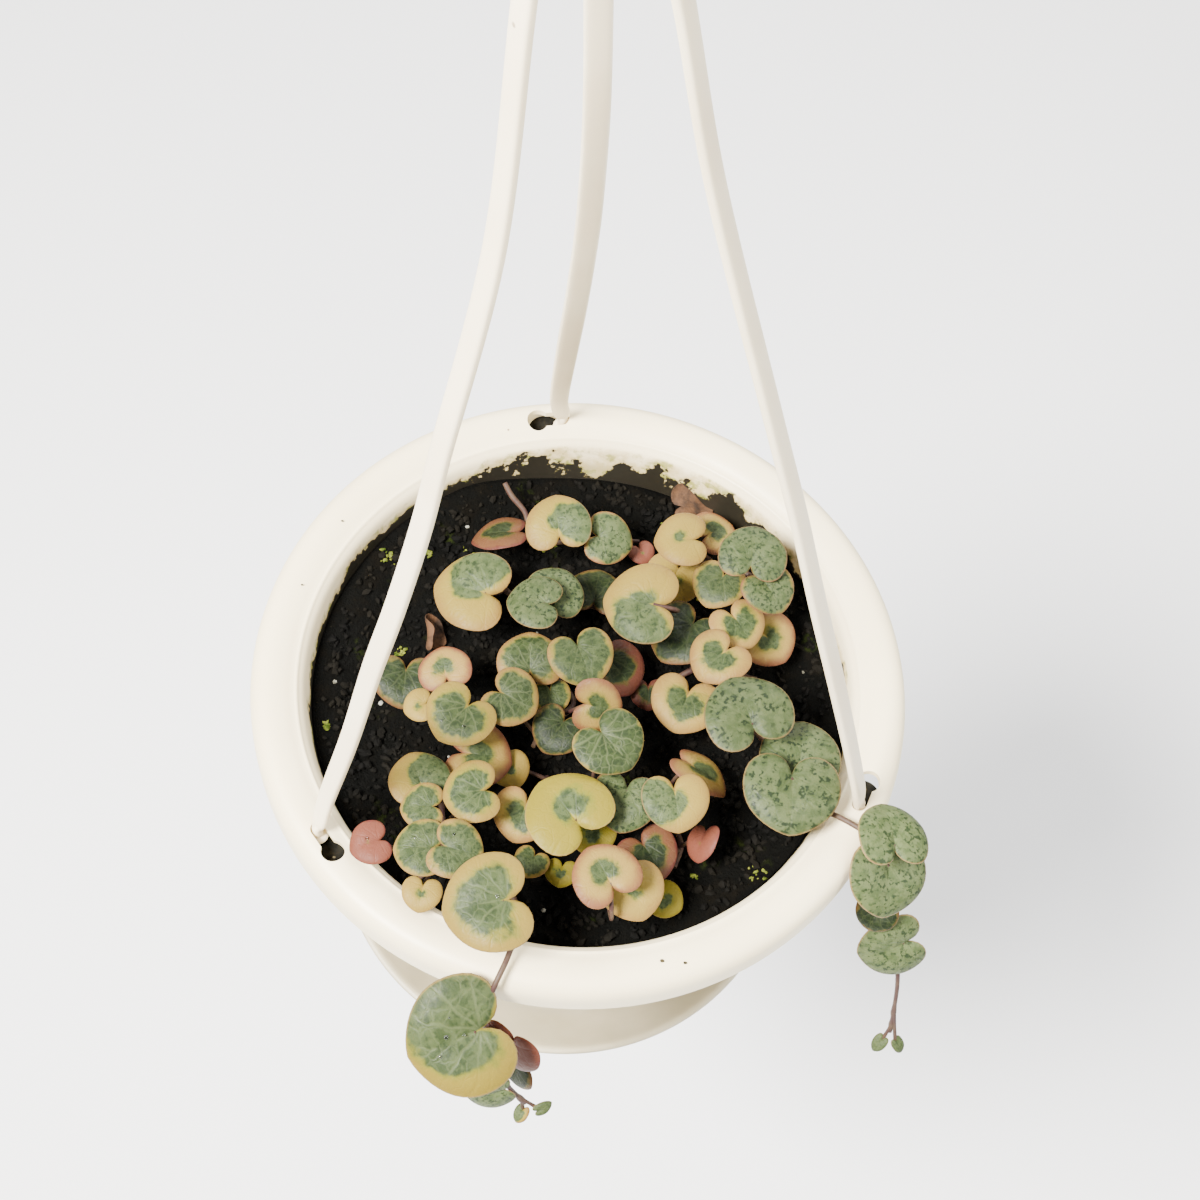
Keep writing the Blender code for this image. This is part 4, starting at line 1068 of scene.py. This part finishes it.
def treeOf(shapes):
    points, faces = [], []
    for shapePoints, shapeFaces in shapes:
        base = len(points)
        points.extend(shapePoints)
        faces.extend(tuple(base + index for index in face) for face in shapeFaces)
    return BVHTree.FromPolygons(points, faces)


def rimShape():
    # a plain stand-in for the pot's wall and rim, which petioles keep clear of
    rings = ((61.6, 100.0), (62.2, 111.2), (66.0, 115.0), (70.5, 116.0), (75.0, 113.1), (75.0, 106.0),
             (64.0, 106.0), (46.0, 6.0))
    points, steps = [], 48
    for radius, height in rings:
        for step in range(steps):
            angle = 2.0 * math.pi * step / steps
            points.append(Vector((radius * math.cos(angle), radius * math.sin(angle), height)))
    return points, ringFaces(len(rings), steps)


def routePetioles(placed, paths):
    # each leaf takes the shortest petiole that stays clear of the other vines and blades
    blades = {}
    for vine, table in placed.items():
        blades[vine] = []
        for centre, width, turn, _ in table:
            points, faces = bladeShape(width)
            blades[vine].append(([centre + turn @ point for point in points], faces))
    tubes = {vine: [plainTube(path, stemSizes["stem"], stemSizes["stemSides"])]
             for vine, path in paths.items()}
    routed = {vine: {} for vine in placed}
    enough = stemSizes["clearance"]
    order = [(entry[0].z, vine, index) for vine in placed for index, entry in enumerate(placed[vine])]
    for _, vine, index in sorted(order):
        others = [rimShape()]
        for other in placed:
            if other != vine:
                others += blades[other] + tubes[other]
        hard = treeOf(others)
        soft = treeOf([shape for number, shape in enumerate(blades[vine]) if number != index])
        centre, width, turn, _ = placed[vine][index]
        share = 0.12 + 0.2 * (index % 4)
        stops = [start.lerp(finish, share) for start, finish in zip(paths[vine][1:], paths[vine][2:])]
        stops = [spot for spot in stops if (spot - centre).length < 30.0]
        best, bestScore = None, -1.0
        for _, line, ends in petioleChoices(centre, width, turn, stops):
            if min(spot.z for spot in line[:-1]) < soil["top"] + 1.0 and centre.z > soil["top"]:
                continue
            far = clearanceOf(line, hard, enough + 0.2)
            if far < 0.35 and best is not None:
                continue
            free = clearanceOf(line, soft, enough + 0.2)
            score = 10.0 * min(far, enough) + min(free, enough)
            if score > bestScore:
                best, bestScore = (line, ends), score
            if far >= enough and free >= enough:
                break
        tubes[vine].append(plainTube(best[0], stemSizes["petiole"], stemSizes["petioleSides"]))
        routed[vine][index] = best[1]
    return routed


def smoothOutline(count):
    # even steps round the heart, starting at the notch, with the notch and the tip kept crisp
    half = [Vector((u, v, 0.0)) for u, v in leaf["fine"]]
    line = smoothPath(half, 0.004)
    lengths = [0.0]
    for first, second in zip(line, line[1:]):
        lengths.append(lengths[-1] + (second - first).length)
    spots = []
    for step in range(count // 2 + 1):
        goal = lengths[-1] * step / (count // 2)
        index = min(len(line) - 2, max(i for i, length in enumerate(lengths) if length <= goal + 1e-9))
        share = (goal - lengths[index]) / max(1e-9, lengths[index + 1] - lengths[index])
        spots.append(line[index].lerp(line[index + 1], share))
    return spots + [Vector((-spot.x, spot.y, 0.0)) for spot in reversed(spots[1:-1])]


def masterLeaf():
    # a ball is flattened until its equator is the heart's outline, and keeps a rounded margin
    segments, rings = leaf["segments"], leaf["rings"]
    deselectAll()
    bpy.ops.mesh.primitive_uv_sphere_add(segments=segments, ring_count=rings, radius=1.0)
    ball = bpy.context.active_object
    outline = smoothOutline(segments)
    toEdge, under, flat = [], [], []
    for vertex in ball.data.vertices:
        x, y, z = vertex.co
        latitude = math.asin(max(-1.0, min(1.0, z)))
        # rings crowd towards the margin, where the surface bends most
        share = math.cos(latitude) ** 0.8
        place = (math.degrees(math.atan2(x, -y)) % 360.0) / 360.0 * segments
        index = int(round(place)) % segments
        spot = outline[index]
        centre = Vector((0.0, leaf["centre"], 0.0))
        at = centre + (spot - centre) * share
        flat.append((at.x, at.y, math.copysign(math.sqrt(max(0.0, 1.0 - share ** 6)), z)))
        toEdge.append(share)
        under.append(0.0 if z > 0.02 else 1.0 if z < -0.02 else 0.5)
    faces = [tuple(face.vertices) for face in ball.data.polygons]
    bpy.data.objects.remove(ball, do_unlink=True)
    return {"flat": flat, "faces": faces, "toEdge": toEdge, "under": under}


def leafLook(paint, draw):
    # small differences from leaf to leaf
    green, side, pink, yellow, deep, fleck, vein, bright = paints[paint]
    return (green + draw.uniform(-0.05, 0.05), side * 0.5 + 0.5,
            min(1.0, max(0.0, pink + draw.uniform(-0.1, 0.1))), min(1.0, yellow + draw.uniform(-0.05, 0.1)),
            min(1.0, deep + draw.uniform(-0.08, 0.08)) if deep > 0.08 else deep, fleck, vein,
            bright * draw.uniform(0.94, 1.04) * 0.5)


def paintPoints(mesh, layer, values):
    # four numbers for each point, which the leaf's finish reads
    attribute = mesh.attributes.new(layer, "FLOAT_COLOR", "POINT")
    attribute.data.foreach_set("color", np.array(values, dtype=np.float32).ravel())


def growLeaf(master, name, centre, width, turn, paint, draw):
    # one heart: bent to its own dome and valley, set in place, with its own paint
    points, flat = [], master["flat"]
    ripple, blunt, skew = draw.uniform(0.0, 6.3), draw.uniform(0.0, 0.13), draw.uniform(-0.05, 0.05)
    narrow = leaf["budWidth"] if paint.startswith("bud") else 1.0
    for (u, v, side), share in zip(flat, master["toEdge"]):
        # some hearts are blunter or a little lopsided
        u = (u + skew * max(0.0, v) * (0.73 - v)) * narrow
        v = v - blunt * max(0.0, v - 0.25)
        across, along = u * width, v * width
        rise = bladeRise(across, along, width)
        rise += width * 0.010 * share ** 3 * math.sin(3.0 * math.atan2(u, v - leaf["centre"]) + ripple)
        # the midrib sinks in a crease towards the notch, and the margin curls down
        crease = math.exp(-(u / 0.07) ** 2) * max(0.0, 1.0 - abs(v - 0.05) / 0.45)
        rise -= width * (0.030 * crease + 0.030 * share ** 5)
        puff = 0.5 * (leaf["thickness"] * (1.0 - share) + leaf["edge"] * share)
        spot = Vector((across, along - leaf["centre"] * width, rise + side * puff))
        points.append((centre + turn @ spot) * mm)
    item = meshFrom(name, points, master["faces"])
    mesh = item.data
    look = leafLook(paint, draw)
    seed = draw.random()
    paintPoints(mesh, "leafPaint", [look[:4]] * len(points))
    paintPoints(mesh, "leafDraw", [look[4:]] * len(points))
    paintPoints(mesh, "leafSpot", [(share, low, seed, 1.0)
                                   for share, low in zip(master["toEdge"], master["under"])])
    corners = [(flat[loop.vertex_index][0] + 0.5, flat[loop.vertex_index][1] + 0.25) for loop in mesh.loops]
    mesh.uv_layers.new(name="leafFlat").data.foreach_set("uv", np.array(corners, dtype=np.float32).ravel())
    allSmooth(item)
    return item


# Leaf and stem colours, and the directions of the side veins from the midrib in radians.
leafTints = {
    "sage": ((0.062, 0.078, 0.030), (0.038, 0.054, 0.018)),
    "dark": ((0.024, 0.039, 0.010), (0.011, 0.020, 0.006)),
    "fleck": (0.007, 0.014, 0.005), "vein": (0.070, 0.086, 0.035), "limeEdge": (0.080, 0.098, 0.012),
    "cream": (0.240, 0.152, 0.038), "yellow": (0.140, 0.112, 0.009), "pink": (0.115, 0.027, 0.021),
    "lipPale": (0.20, 0.135, 0.042), "lipRosy": (0.125, 0.036, 0.028),
    "under": ((0.175, 0.078, 0.060), (0.125, 0.088, 0.048)),
    "bark": ((0.036, 0.014, 0.012), (0.066, 0.040, 0.022)),
    "sideVeins": (0.55, 1.10, 1.75),
}


def leafVeins(sheet, local, u, v, wander):
    # spokes from the notch, joined by a fine net
    angle = abs(sheet.math("ARCTAN2", u, v - 0.03)) + wander * 0.5
    span = sheet.math("SQRT", u * u + v * v)
    nearest = abs(angle) * span
    for direction in leafTints["sideVeins"]:
        nearest = sheet.math("MINIMUM", nearest, abs(angle - direction) * span)
    spokes = sheet.ramp(nearest, 0.026, 0.002)
    swirl = sheet.node("ShaderNodeVectorMath", sheet.noise(local, 7.0, 2.0, 0.5, "Color"), operation="SCALE")
    swirl.inputs["Scale"].default_value = 0.10
    bent = sheet.result("ShaderNodeVectorMath", local, Wire(sheet, swirl.outputs[0]), operation="ADD")
    net = sheet.ramp(sheet.cells(bent, 7.0, "DISTANCE_TO_EDGE"), 0.10, 0.01)
    return sheet.math("MAXIMUM", spokes, net * 0.6)


def leafFinish():
    sheet = Sheet("heartLeaf")
    green, side, pink, yellow = sheet.painted("leafPaint")
    deep, fleck, vein, bright = sheet.painted("leafDraw")
    toEdge, under, seed, _ = sheet.painted("leafSpot")
    u, v, _ = sheet.split(sheet.result("ShaderNodeUVMap", uv_map="leafFlat"))
    u, v = u - 0.5, v - 0.25
    local = sheet.result("ShaderNodeCombineXYZ", u, v, seed * 40.0)

    # how far the green reaches towards the margin, with a wandering edge
    wander = sheet.noise(local, 4.5, 2.0) - 0.5
    crumble = sheet.noise(local, 15.0, 3.0, 0.6) - 0.5
    lean = (side - 0.5) * (u * 4.0)
    depth = wander * 0.55 + crumble * 0.16 + lean + green - toEdge
    body, halo = sheet.ramp(depth, -0.035, 0.085), sheet.ramp(depth, -0.17, 0.06)

    # two tones of green: sage patches, deeper flecks and pale veins
    patches = sheet.ramp(sheet.noise(local, 9.0, 3.0, 0.6), 0.38, 0.62)
    greens = sheet.mix(deep, sheet.mix(patches, *leafTints["sage"]), sheet.mix(patches, *leafTints["dark"]))
    flecks = sheet.ramp(sheet.noise(local, 18.0, 2.0, 0.55), 0.535, 0.60)
    flecks = flecks * sheet.ramp(sheet.noise(local, 6.0, 1.0), 0.36, 0.50)
    greens = sheet.mix(flecks * (fleck * 0.9), greens, leafTints["fleck"])
    veins = leafVeins(sheet, local, u, v, wander)
    greens = sheet.mix(veins * (vein * 0.75), greens, leafTints["vein"])

    # the pale part: cream to yellow, blushed with pink towards the margin
    cream = sheet.mix(yellow, leafTints["cream"], leafTints["yellow"])
    blush = sheet.ramp(toEdge + wander * 0.35, 0.62, 1.02)
    blush = sheet.math("MAXIMUM", blush, (pink - 0.80) * 4.5)
    pale = sheet.mix(sheet.math("MULTIPLY", blush, pink, clamp=True), cream, leafTints["pink"])
    colour = sheet.mix(halo, pale, sheet.mix(0.7, pale, leafTints["limeEdge"]))
    colour = sheet.mix(body, colour, greens)
    # a thin rosy or pale rim all round
    lip = sheet.mix(pink, leafTints["lipPale"], leafTints["lipRosy"])
    colour = sheet.mix(sheet.ramp(toEdge, 0.955, 0.995) * 0.65, colour, lip)
    # the underside is a dull rose over a washed-out green
    rose = sheet.mix(sheet.ramp(sheet.noise(local, 6.0, 3.0), 0.35, 0.65), *leafTints["under"])
    colour = sheet.mix(under * 0.8, colour, rose)
    glow = bright * 2.0
    colour = sheet.mix(1.0, colour, sheet.result("ShaderNodeCombineColor", glow, glow, glow), "MULTIPLY")

    pebble = sheet.noise(local, 34.0, 3.0, 0.6)
    sheet.bump(pebble - veins * 0.8, 0.22, 0.0004)
    return sheet.set(colour=colour, rough=sheet.ramp(pebble, 0.3, 0.7, 0.42, 0.56), spec=0.13,
                     sub=0.10, subScale=0.0016, subRadius=(1.0, 0.8, 0.4))


def stemFinish():
    sheet = Sheet("vineStem")
    place = sheet.place()
    mottle = sheet.ramp(sheet.noise(place, 260.0, 3.0), 0.35, 0.68)
    sheet.bump(sheet.noise(place, 1500.0, 2.0), 0.3, 0.0002)
    return sheet.set(colour=sheet.mix(mottle, *leafTints["bark"]), rough=0.55, spec=0.3)


def newLines(name):
    # round-section lines, which become one mesh when they are all drawn
    curve = bpy.data.curves.new(name, "CURVE")
    curve.dimensions, curve.bevel_depth, curve.bevel_resolution = "3D", mm, stemSizes["roundSides"]
    curve.use_fill_caps = True
    return curve


def addLine(curve, points, radii):
    line = curve.splines.new("POLY")
    line.points.add(len(points) - 1)
    for knot, spot, radius in zip(line.points, points, radii):
        knot.co, knot.radius = (*(spot * mm), 1.0), radius


def linesToMesh(curve, name, finish):
    item = bpy.data.objects.new(name, curve)
    bpy.context.scene.collection.objects.link(item)
    makeActive(item)
    bpy.ops.object.convert(target="MESH")
    item = bpy.context.active_object
    allSmooth(item)
    item.data.materials.append(finish)
    return item


def drawStems(vine, path, routed, placed, finish):
    curve = newLines(vine + "Lines")
    fine = [path[0]] + smoothPath(path[1:], 1.5)
    joints = [ends[3] for ends in routed.values()]
    radii = []
    for index, spot in enumerate(fine):
        radius = stemSizes["stem"] * (0.95 - 0.22 * index / len(fine))
        near = min([(spot - joint).length for joint in joints] + [9.0])
        # the stem thickens where a petiole leaves it
        radii.append(radius + 0.28 * max(0.0, 1.0 - near / 1.8))
    addLine(curve, fine, radii)
    steps, thick = stemSizes["petioleRings"], stemSizes["petiole"]
    widths = [thick * (0.86 + 0.22 * abs(2.0 * step / steps - 1.0)) for step in range(steps + 1)]
    for index, ends in routed.items():
        # a petiole starts a little below its blade, so that it doesn't lie over the lobes
        under = placed[index][2] @ Vector((0.0, 0.0, -0.55))
        line = bentLine((ends[0] + under, ends[1] + under, ends[2], ends[3]), steps)
        addLine(curve, line, widths)
    return linesToMesh(curve, vine + "Stems", finish)


def makeVines():
    placed = placeLeaves()
    paths = {vine: stemPath(vine) for vine in stems}
    routed = routePetioles(placed, paths)
    print("leaves placed and petioles routed")
    master, blade, bark = masterLeaf(), leafFinish(), stemFinish()
    for number, vine in enumerate(placed):
        draw = random.Random(70 + number)
        pieces = []
        for index, (centre, width, turn, paint) in enumerate(placed[vine]):
            item = growLeaf(master, f"{vine}Leaf{index}", centre, width, turn, paint, draw)
            item.data.materials.append(blade)
            pieces.append(item)
        pieces.append(drawStems(vine, paths[vine], routed[vine], placed[vine], bark))
        words = vine.split("_")
        addPiece(joinInto(words[0] + "".join(word.capitalize() for word in words[1:]), pieces), "leaf", vine)
    print("vines made")
    return placed, master, bark


oddments = {
    # withered leaves: place, width, turn and how tightly each one curls
    "withered": (((22.0, 55.0, 103.6), 12.0, (20, 14, 8), 0.55),
                 ((-36.8, 11.0, 105.5), 9.5, (100, -30, 66), 0.9)),
    "dryTones": ((0.085, 0.040, 0.018), (0.022, 0.013, 0.008)),
    # drops on the leaves: vine, leaf, then where on the blade and how wide in millimetres
    "drops": (("vine_trail_front", 2, 0.06, 0.30, 0.9), ("vine_trail_front", 2, -0.07, 0.40, 0.7),
              ("vine_trail_front", 2, 0.02, 0.16, 0.6), ("vine_trail_front", 2, 0.20, 0.22, 0.5),
              ("vine_trail_front", 1, 0.04, 0.12, 0.7), ("vine_left", 4, -0.18, 0.30, 0.8),
              ("vine_left", 4, 0.12, 0.42, 0.5), ("vine_left_front", 1, 0.10, 0.25, 0.8),
              ("vine_left_front", 6, -0.20, 0.10, 0.7), ("vine_left_front", 4, 0.15, 0.30, 0.5)),
    # specks of soil that landed on the rim: place and width
    "specks": ((24.6, -64.6, 0.50), (29.5, -64.4, 0.50), (-60.2, 32.0, 0.35), (46.1, 52.6, 0.40),
               (-48.0, -50.5, 0.40), (-66.5, 14.0, 0.30)),
    "speckTones": ((0.02, 0.016, 0.01), (0.05, 0.04, 0.02)),
    # painted shade: dark discs under the keyholes, their radius, thickness and drop in millimetres, and
    # their tones
    "shadeDiscRadius": 4.15, "shadeDiscThickness": 0.4, "shadeDiscDrop": 5.6,
    "shadeDiscTones": ((0.004, 0.004, 0.003), (0.012, 0.011, 0.008)),
    "stub": ((-17.5, 41.5, 103.0), (-18.2, 45.5, 106.0), (-22.0, 48.5, 108.5), (-24.1, 50.8, 110.5)),
}


def dryFinish():
    sheet = Sheet("witheredLeaf")
    place = sheet.place()
    blotch = sheet.ramp(sheet.noise(place, 240.0, 4.0, 0.6), 0.35, 0.65)
    sheet.bump(sheet.noise(place, 600.0, 3.0), 0.7, 0.0006)
    return sheet.set(colour=sheet.mix(blotch, *oddments["dryTones"]), rough=0.8, spec=0.2)


def makeWithered(master):
    finish, pieces = dryFinish(), []
    for number, (place, width, angles, curl) in enumerate(oddments["withered"]):
        turn, points, tight = turnMatrix(*angles), [], curl * 3.2
        for (u, v, side), share in zip(master["flat"], master["toEdge"]):
            across = width * math.sin(tight * u) / tight
            rise = width * (1.0 - math.cos(tight * u)) / tight
            rise += width * 0.05 * share * math.sin(9.0 * v + 5.0 * u) + side * 0.22
            points.append((Vector(place) + turn @ Vector((across, (v - leaf["centre"]) * width, rise))) * mm)
        item = meshFrom(f"withered{number}", points, master["faces"])
        allSmooth(item)
        item.data.materials.append(finish)
        pieces.append(item)
    addPiece(joinInto("witheredLeaves", pieces), "leaf")


def waterFinish():
    return Sheet("waterDrop").set(colour=(1.0, 1.0, 1.0), rough=0.02, ior=1.33, clear=1.0)


def makeDrops(placed):
    # flattened beads that sit on the blades
    pieces = []
    for vine, index, u, v, wide in oddments["drops"]:
        centre, width, turn, _ = placed[vine][index]
        rise = bladeRise(u * width, v * width, width) + leaf["thickness"] / 2 + 0.05
        spot = centre + turn @ Vector((u * width, (v - leaf["centre"]) * width, rise))
        deselectAll()
        bpy.ops.mesh.primitive_uv_sphere_add(segments=20, ring_count=12, radius=wide * mm / 2)
        bead = bpy.context.active_object
        bead.data.transform(Matrix.Translation(spot * mm) @ turn.to_4x4() @ Matrix.Diagonal((1, 1, 0.55, 1)))
        allSmooth(bead)
        pieces.append(bead)
    drops = joinInto("waterDrops", pieces)
    drops.data.materials.append(waterFinish())
    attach(drops, "root")


def makeSpecks():
    pieces = []
    for number, (x, y, wide) in enumerate(oddments["specks"]):
        height = pot["rimTop"] - 0.03 * (math.hypot(x, y) - 70.0) ** 2
        deselectAll()
        bpy.ops.mesh.primitive_ico_sphere_add(subdivisions=2, radius=wide * mm)
        speck = bpy.context.active_object
        draw = random.Random(number)
        for vertex in speck.data.vertices:
            vertex.co *= draw.uniform(0.7, 1.1)
        place = Matrix.Translation(Vector((x, y, height)) * mm)
        speck.data.transform(place @ Matrix.Diagonal((1, 0.8, 0.4, 1)))
        pieces.append(speck)
    specks = joinInto("rimSpecks", pieces)
    specks.data.materials.append(bitFinish("speckBrown", oddments["speckTones"], 500.0, 0.9))
    addPiece(specks, "soil_mix")


def makeHoleShades():
    # painted shade: thin dark discs under each keyhole stand in for the shade inside the rim's hollow
    pieces = []
    drop = Vector((0.0, 0.0, oddments["shadeDiscDrop"] * mm))
    for name in pot["keyholeAngles"]:
        shadeDisc = addCylinder(40, oddments["shadeDiscRadius"], oddments["shadeDiscThickness"], rimSpot(name, 1.6) - drop)
        settle(shadeDisc)
        pieces.append(shadeDisc)
    shadeDiscs = joinInto("holeShades", pieces)
    shadeDiscs.data.materials.append(bitFinish("shadeDiscShade", oddments["shadeDiscTones"], 300.0, 0.9))
    addPiece(shadeDiscs, "pot_plastic")


def makeStub(bark):
    # the bare end of a petiole that lost its leaf
    curve = newLines("stubLine")
    path = smoothPath(oddments["stub"], 1.0)
    addLine(curve, path, [0.45 + 0.25 * math.sin(2.6 * index / len(path)) for index in range(len(path))])
    addPiece(linesToMesh(curve, "petioleStub", bark), "leaf")


studio = {
    "floorColour": (0.92, 0.92, 0.92), "floorSize": 9.0, "floorHeight": -0.30, "worldPower": 0.72,
    "aim": (0.0, 0.0, 0.10),
    # each light: place, width, power and colour
    "lights": {
        "softKey": ((-0.45, -0.35, 0.95), 0.36, 76.0, (1.0, 0.975, 0.94)),
        "softFill": ((0.80, -0.20, 0.70), 0.80, 13.0, (1.0, 1.0, 1.0)),
        "softBack": ((0.10, 0.90, 0.80), 0.70, 13.0, (1.0, 1.0, 1.0)),
    },
    "camera": (0.0022, -0.19276, 0.52303), "lens": 59.34, "elevation": 62.47, "roll": 6.96,
}


def makeFloor():
    deselectAll()
    bpy.ops.mesh.primitive_plane_add(size=studio["floorSize"], location=(0.0, 0.0, studio["floorHeight"]))
    floor = bpy.context.active_object
    floor.name = "floor"
    floor.data.materials.append(Sheet("paleFloor").set(colour=studio["floorColour"], rough=0.9))


def areaLight(name, place, size, power, colour):
    lamp = bpy.data.lights.new(name, "AREA")
    lamp.shape, lamp.size, lamp.energy, lamp.color = "DISK", size, power, colour
    item = bpy.data.objects.new(name, lamp)
    item.location = place
    item.rotation_euler = (Vector(studio["aim"]) - Vector(place)).to_track_quat("-Z", "Y").to_euler()
    bpy.context.scene.collection.objects.link(item)


def makeLights():
    world = bpy.data.worlds.new("studioWorld")
    world.use_nodes = True
    sky = world.node_tree.nodes["Background"]
    sky.inputs["Color"].default_value = (1.0, 1.0, 1.0, 1.0)
    sky.inputs["Strength"].default_value = studio["worldPower"]
    bpy.context.scene.world = world
    for name, settings in studio["lights"].items():
        areaLight(name, *settings)


def makeCamera():
    elevation, roll = math.radians(studio["elevation"]), math.radians(studio["roll"])
    back = Vector((0.0, -math.cos(elevation), math.sin(elevation)))
    right, up = Vector((1.0, 0.0, 0.0)), Vector((0.0, math.sin(elevation), math.cos(elevation)))
    turnedRight = right * math.cos(roll) + up * math.sin(roll)
    turnedUp = up * math.cos(roll) - right * math.sin(roll)
    lens = bpy.data.cameras.new("photoLens")
    lens.sensor_width, lens.lens = 36.0, studio["lens"]
    lens.clip_start, lens.clip_end = 0.01, 20.0
    camera = bpy.data.objects.new("photoCamera", lens)
    camera.matrix_world = Matrix.Translation(studio["camera"]) @ Matrix(
        (turnedRight, turnedUp, back)).transposed().to_4x4()
    bpy.context.scene.collection.objects.link(camera)
    bpy.context.scene.camera = camera


makePot()
makeSaucer()
makeHanger()
makeSoilBits(makeSoil())
leafPlaces, heart, bark = makeVines()
makeWithered(heart)
makeDrops(leafPlaces)
makeSpecks()
makeHoleShades()
makeStub(bark)
print("oddments made")
makeFloor()
makeLights()
makeCamera()
print("studio made")
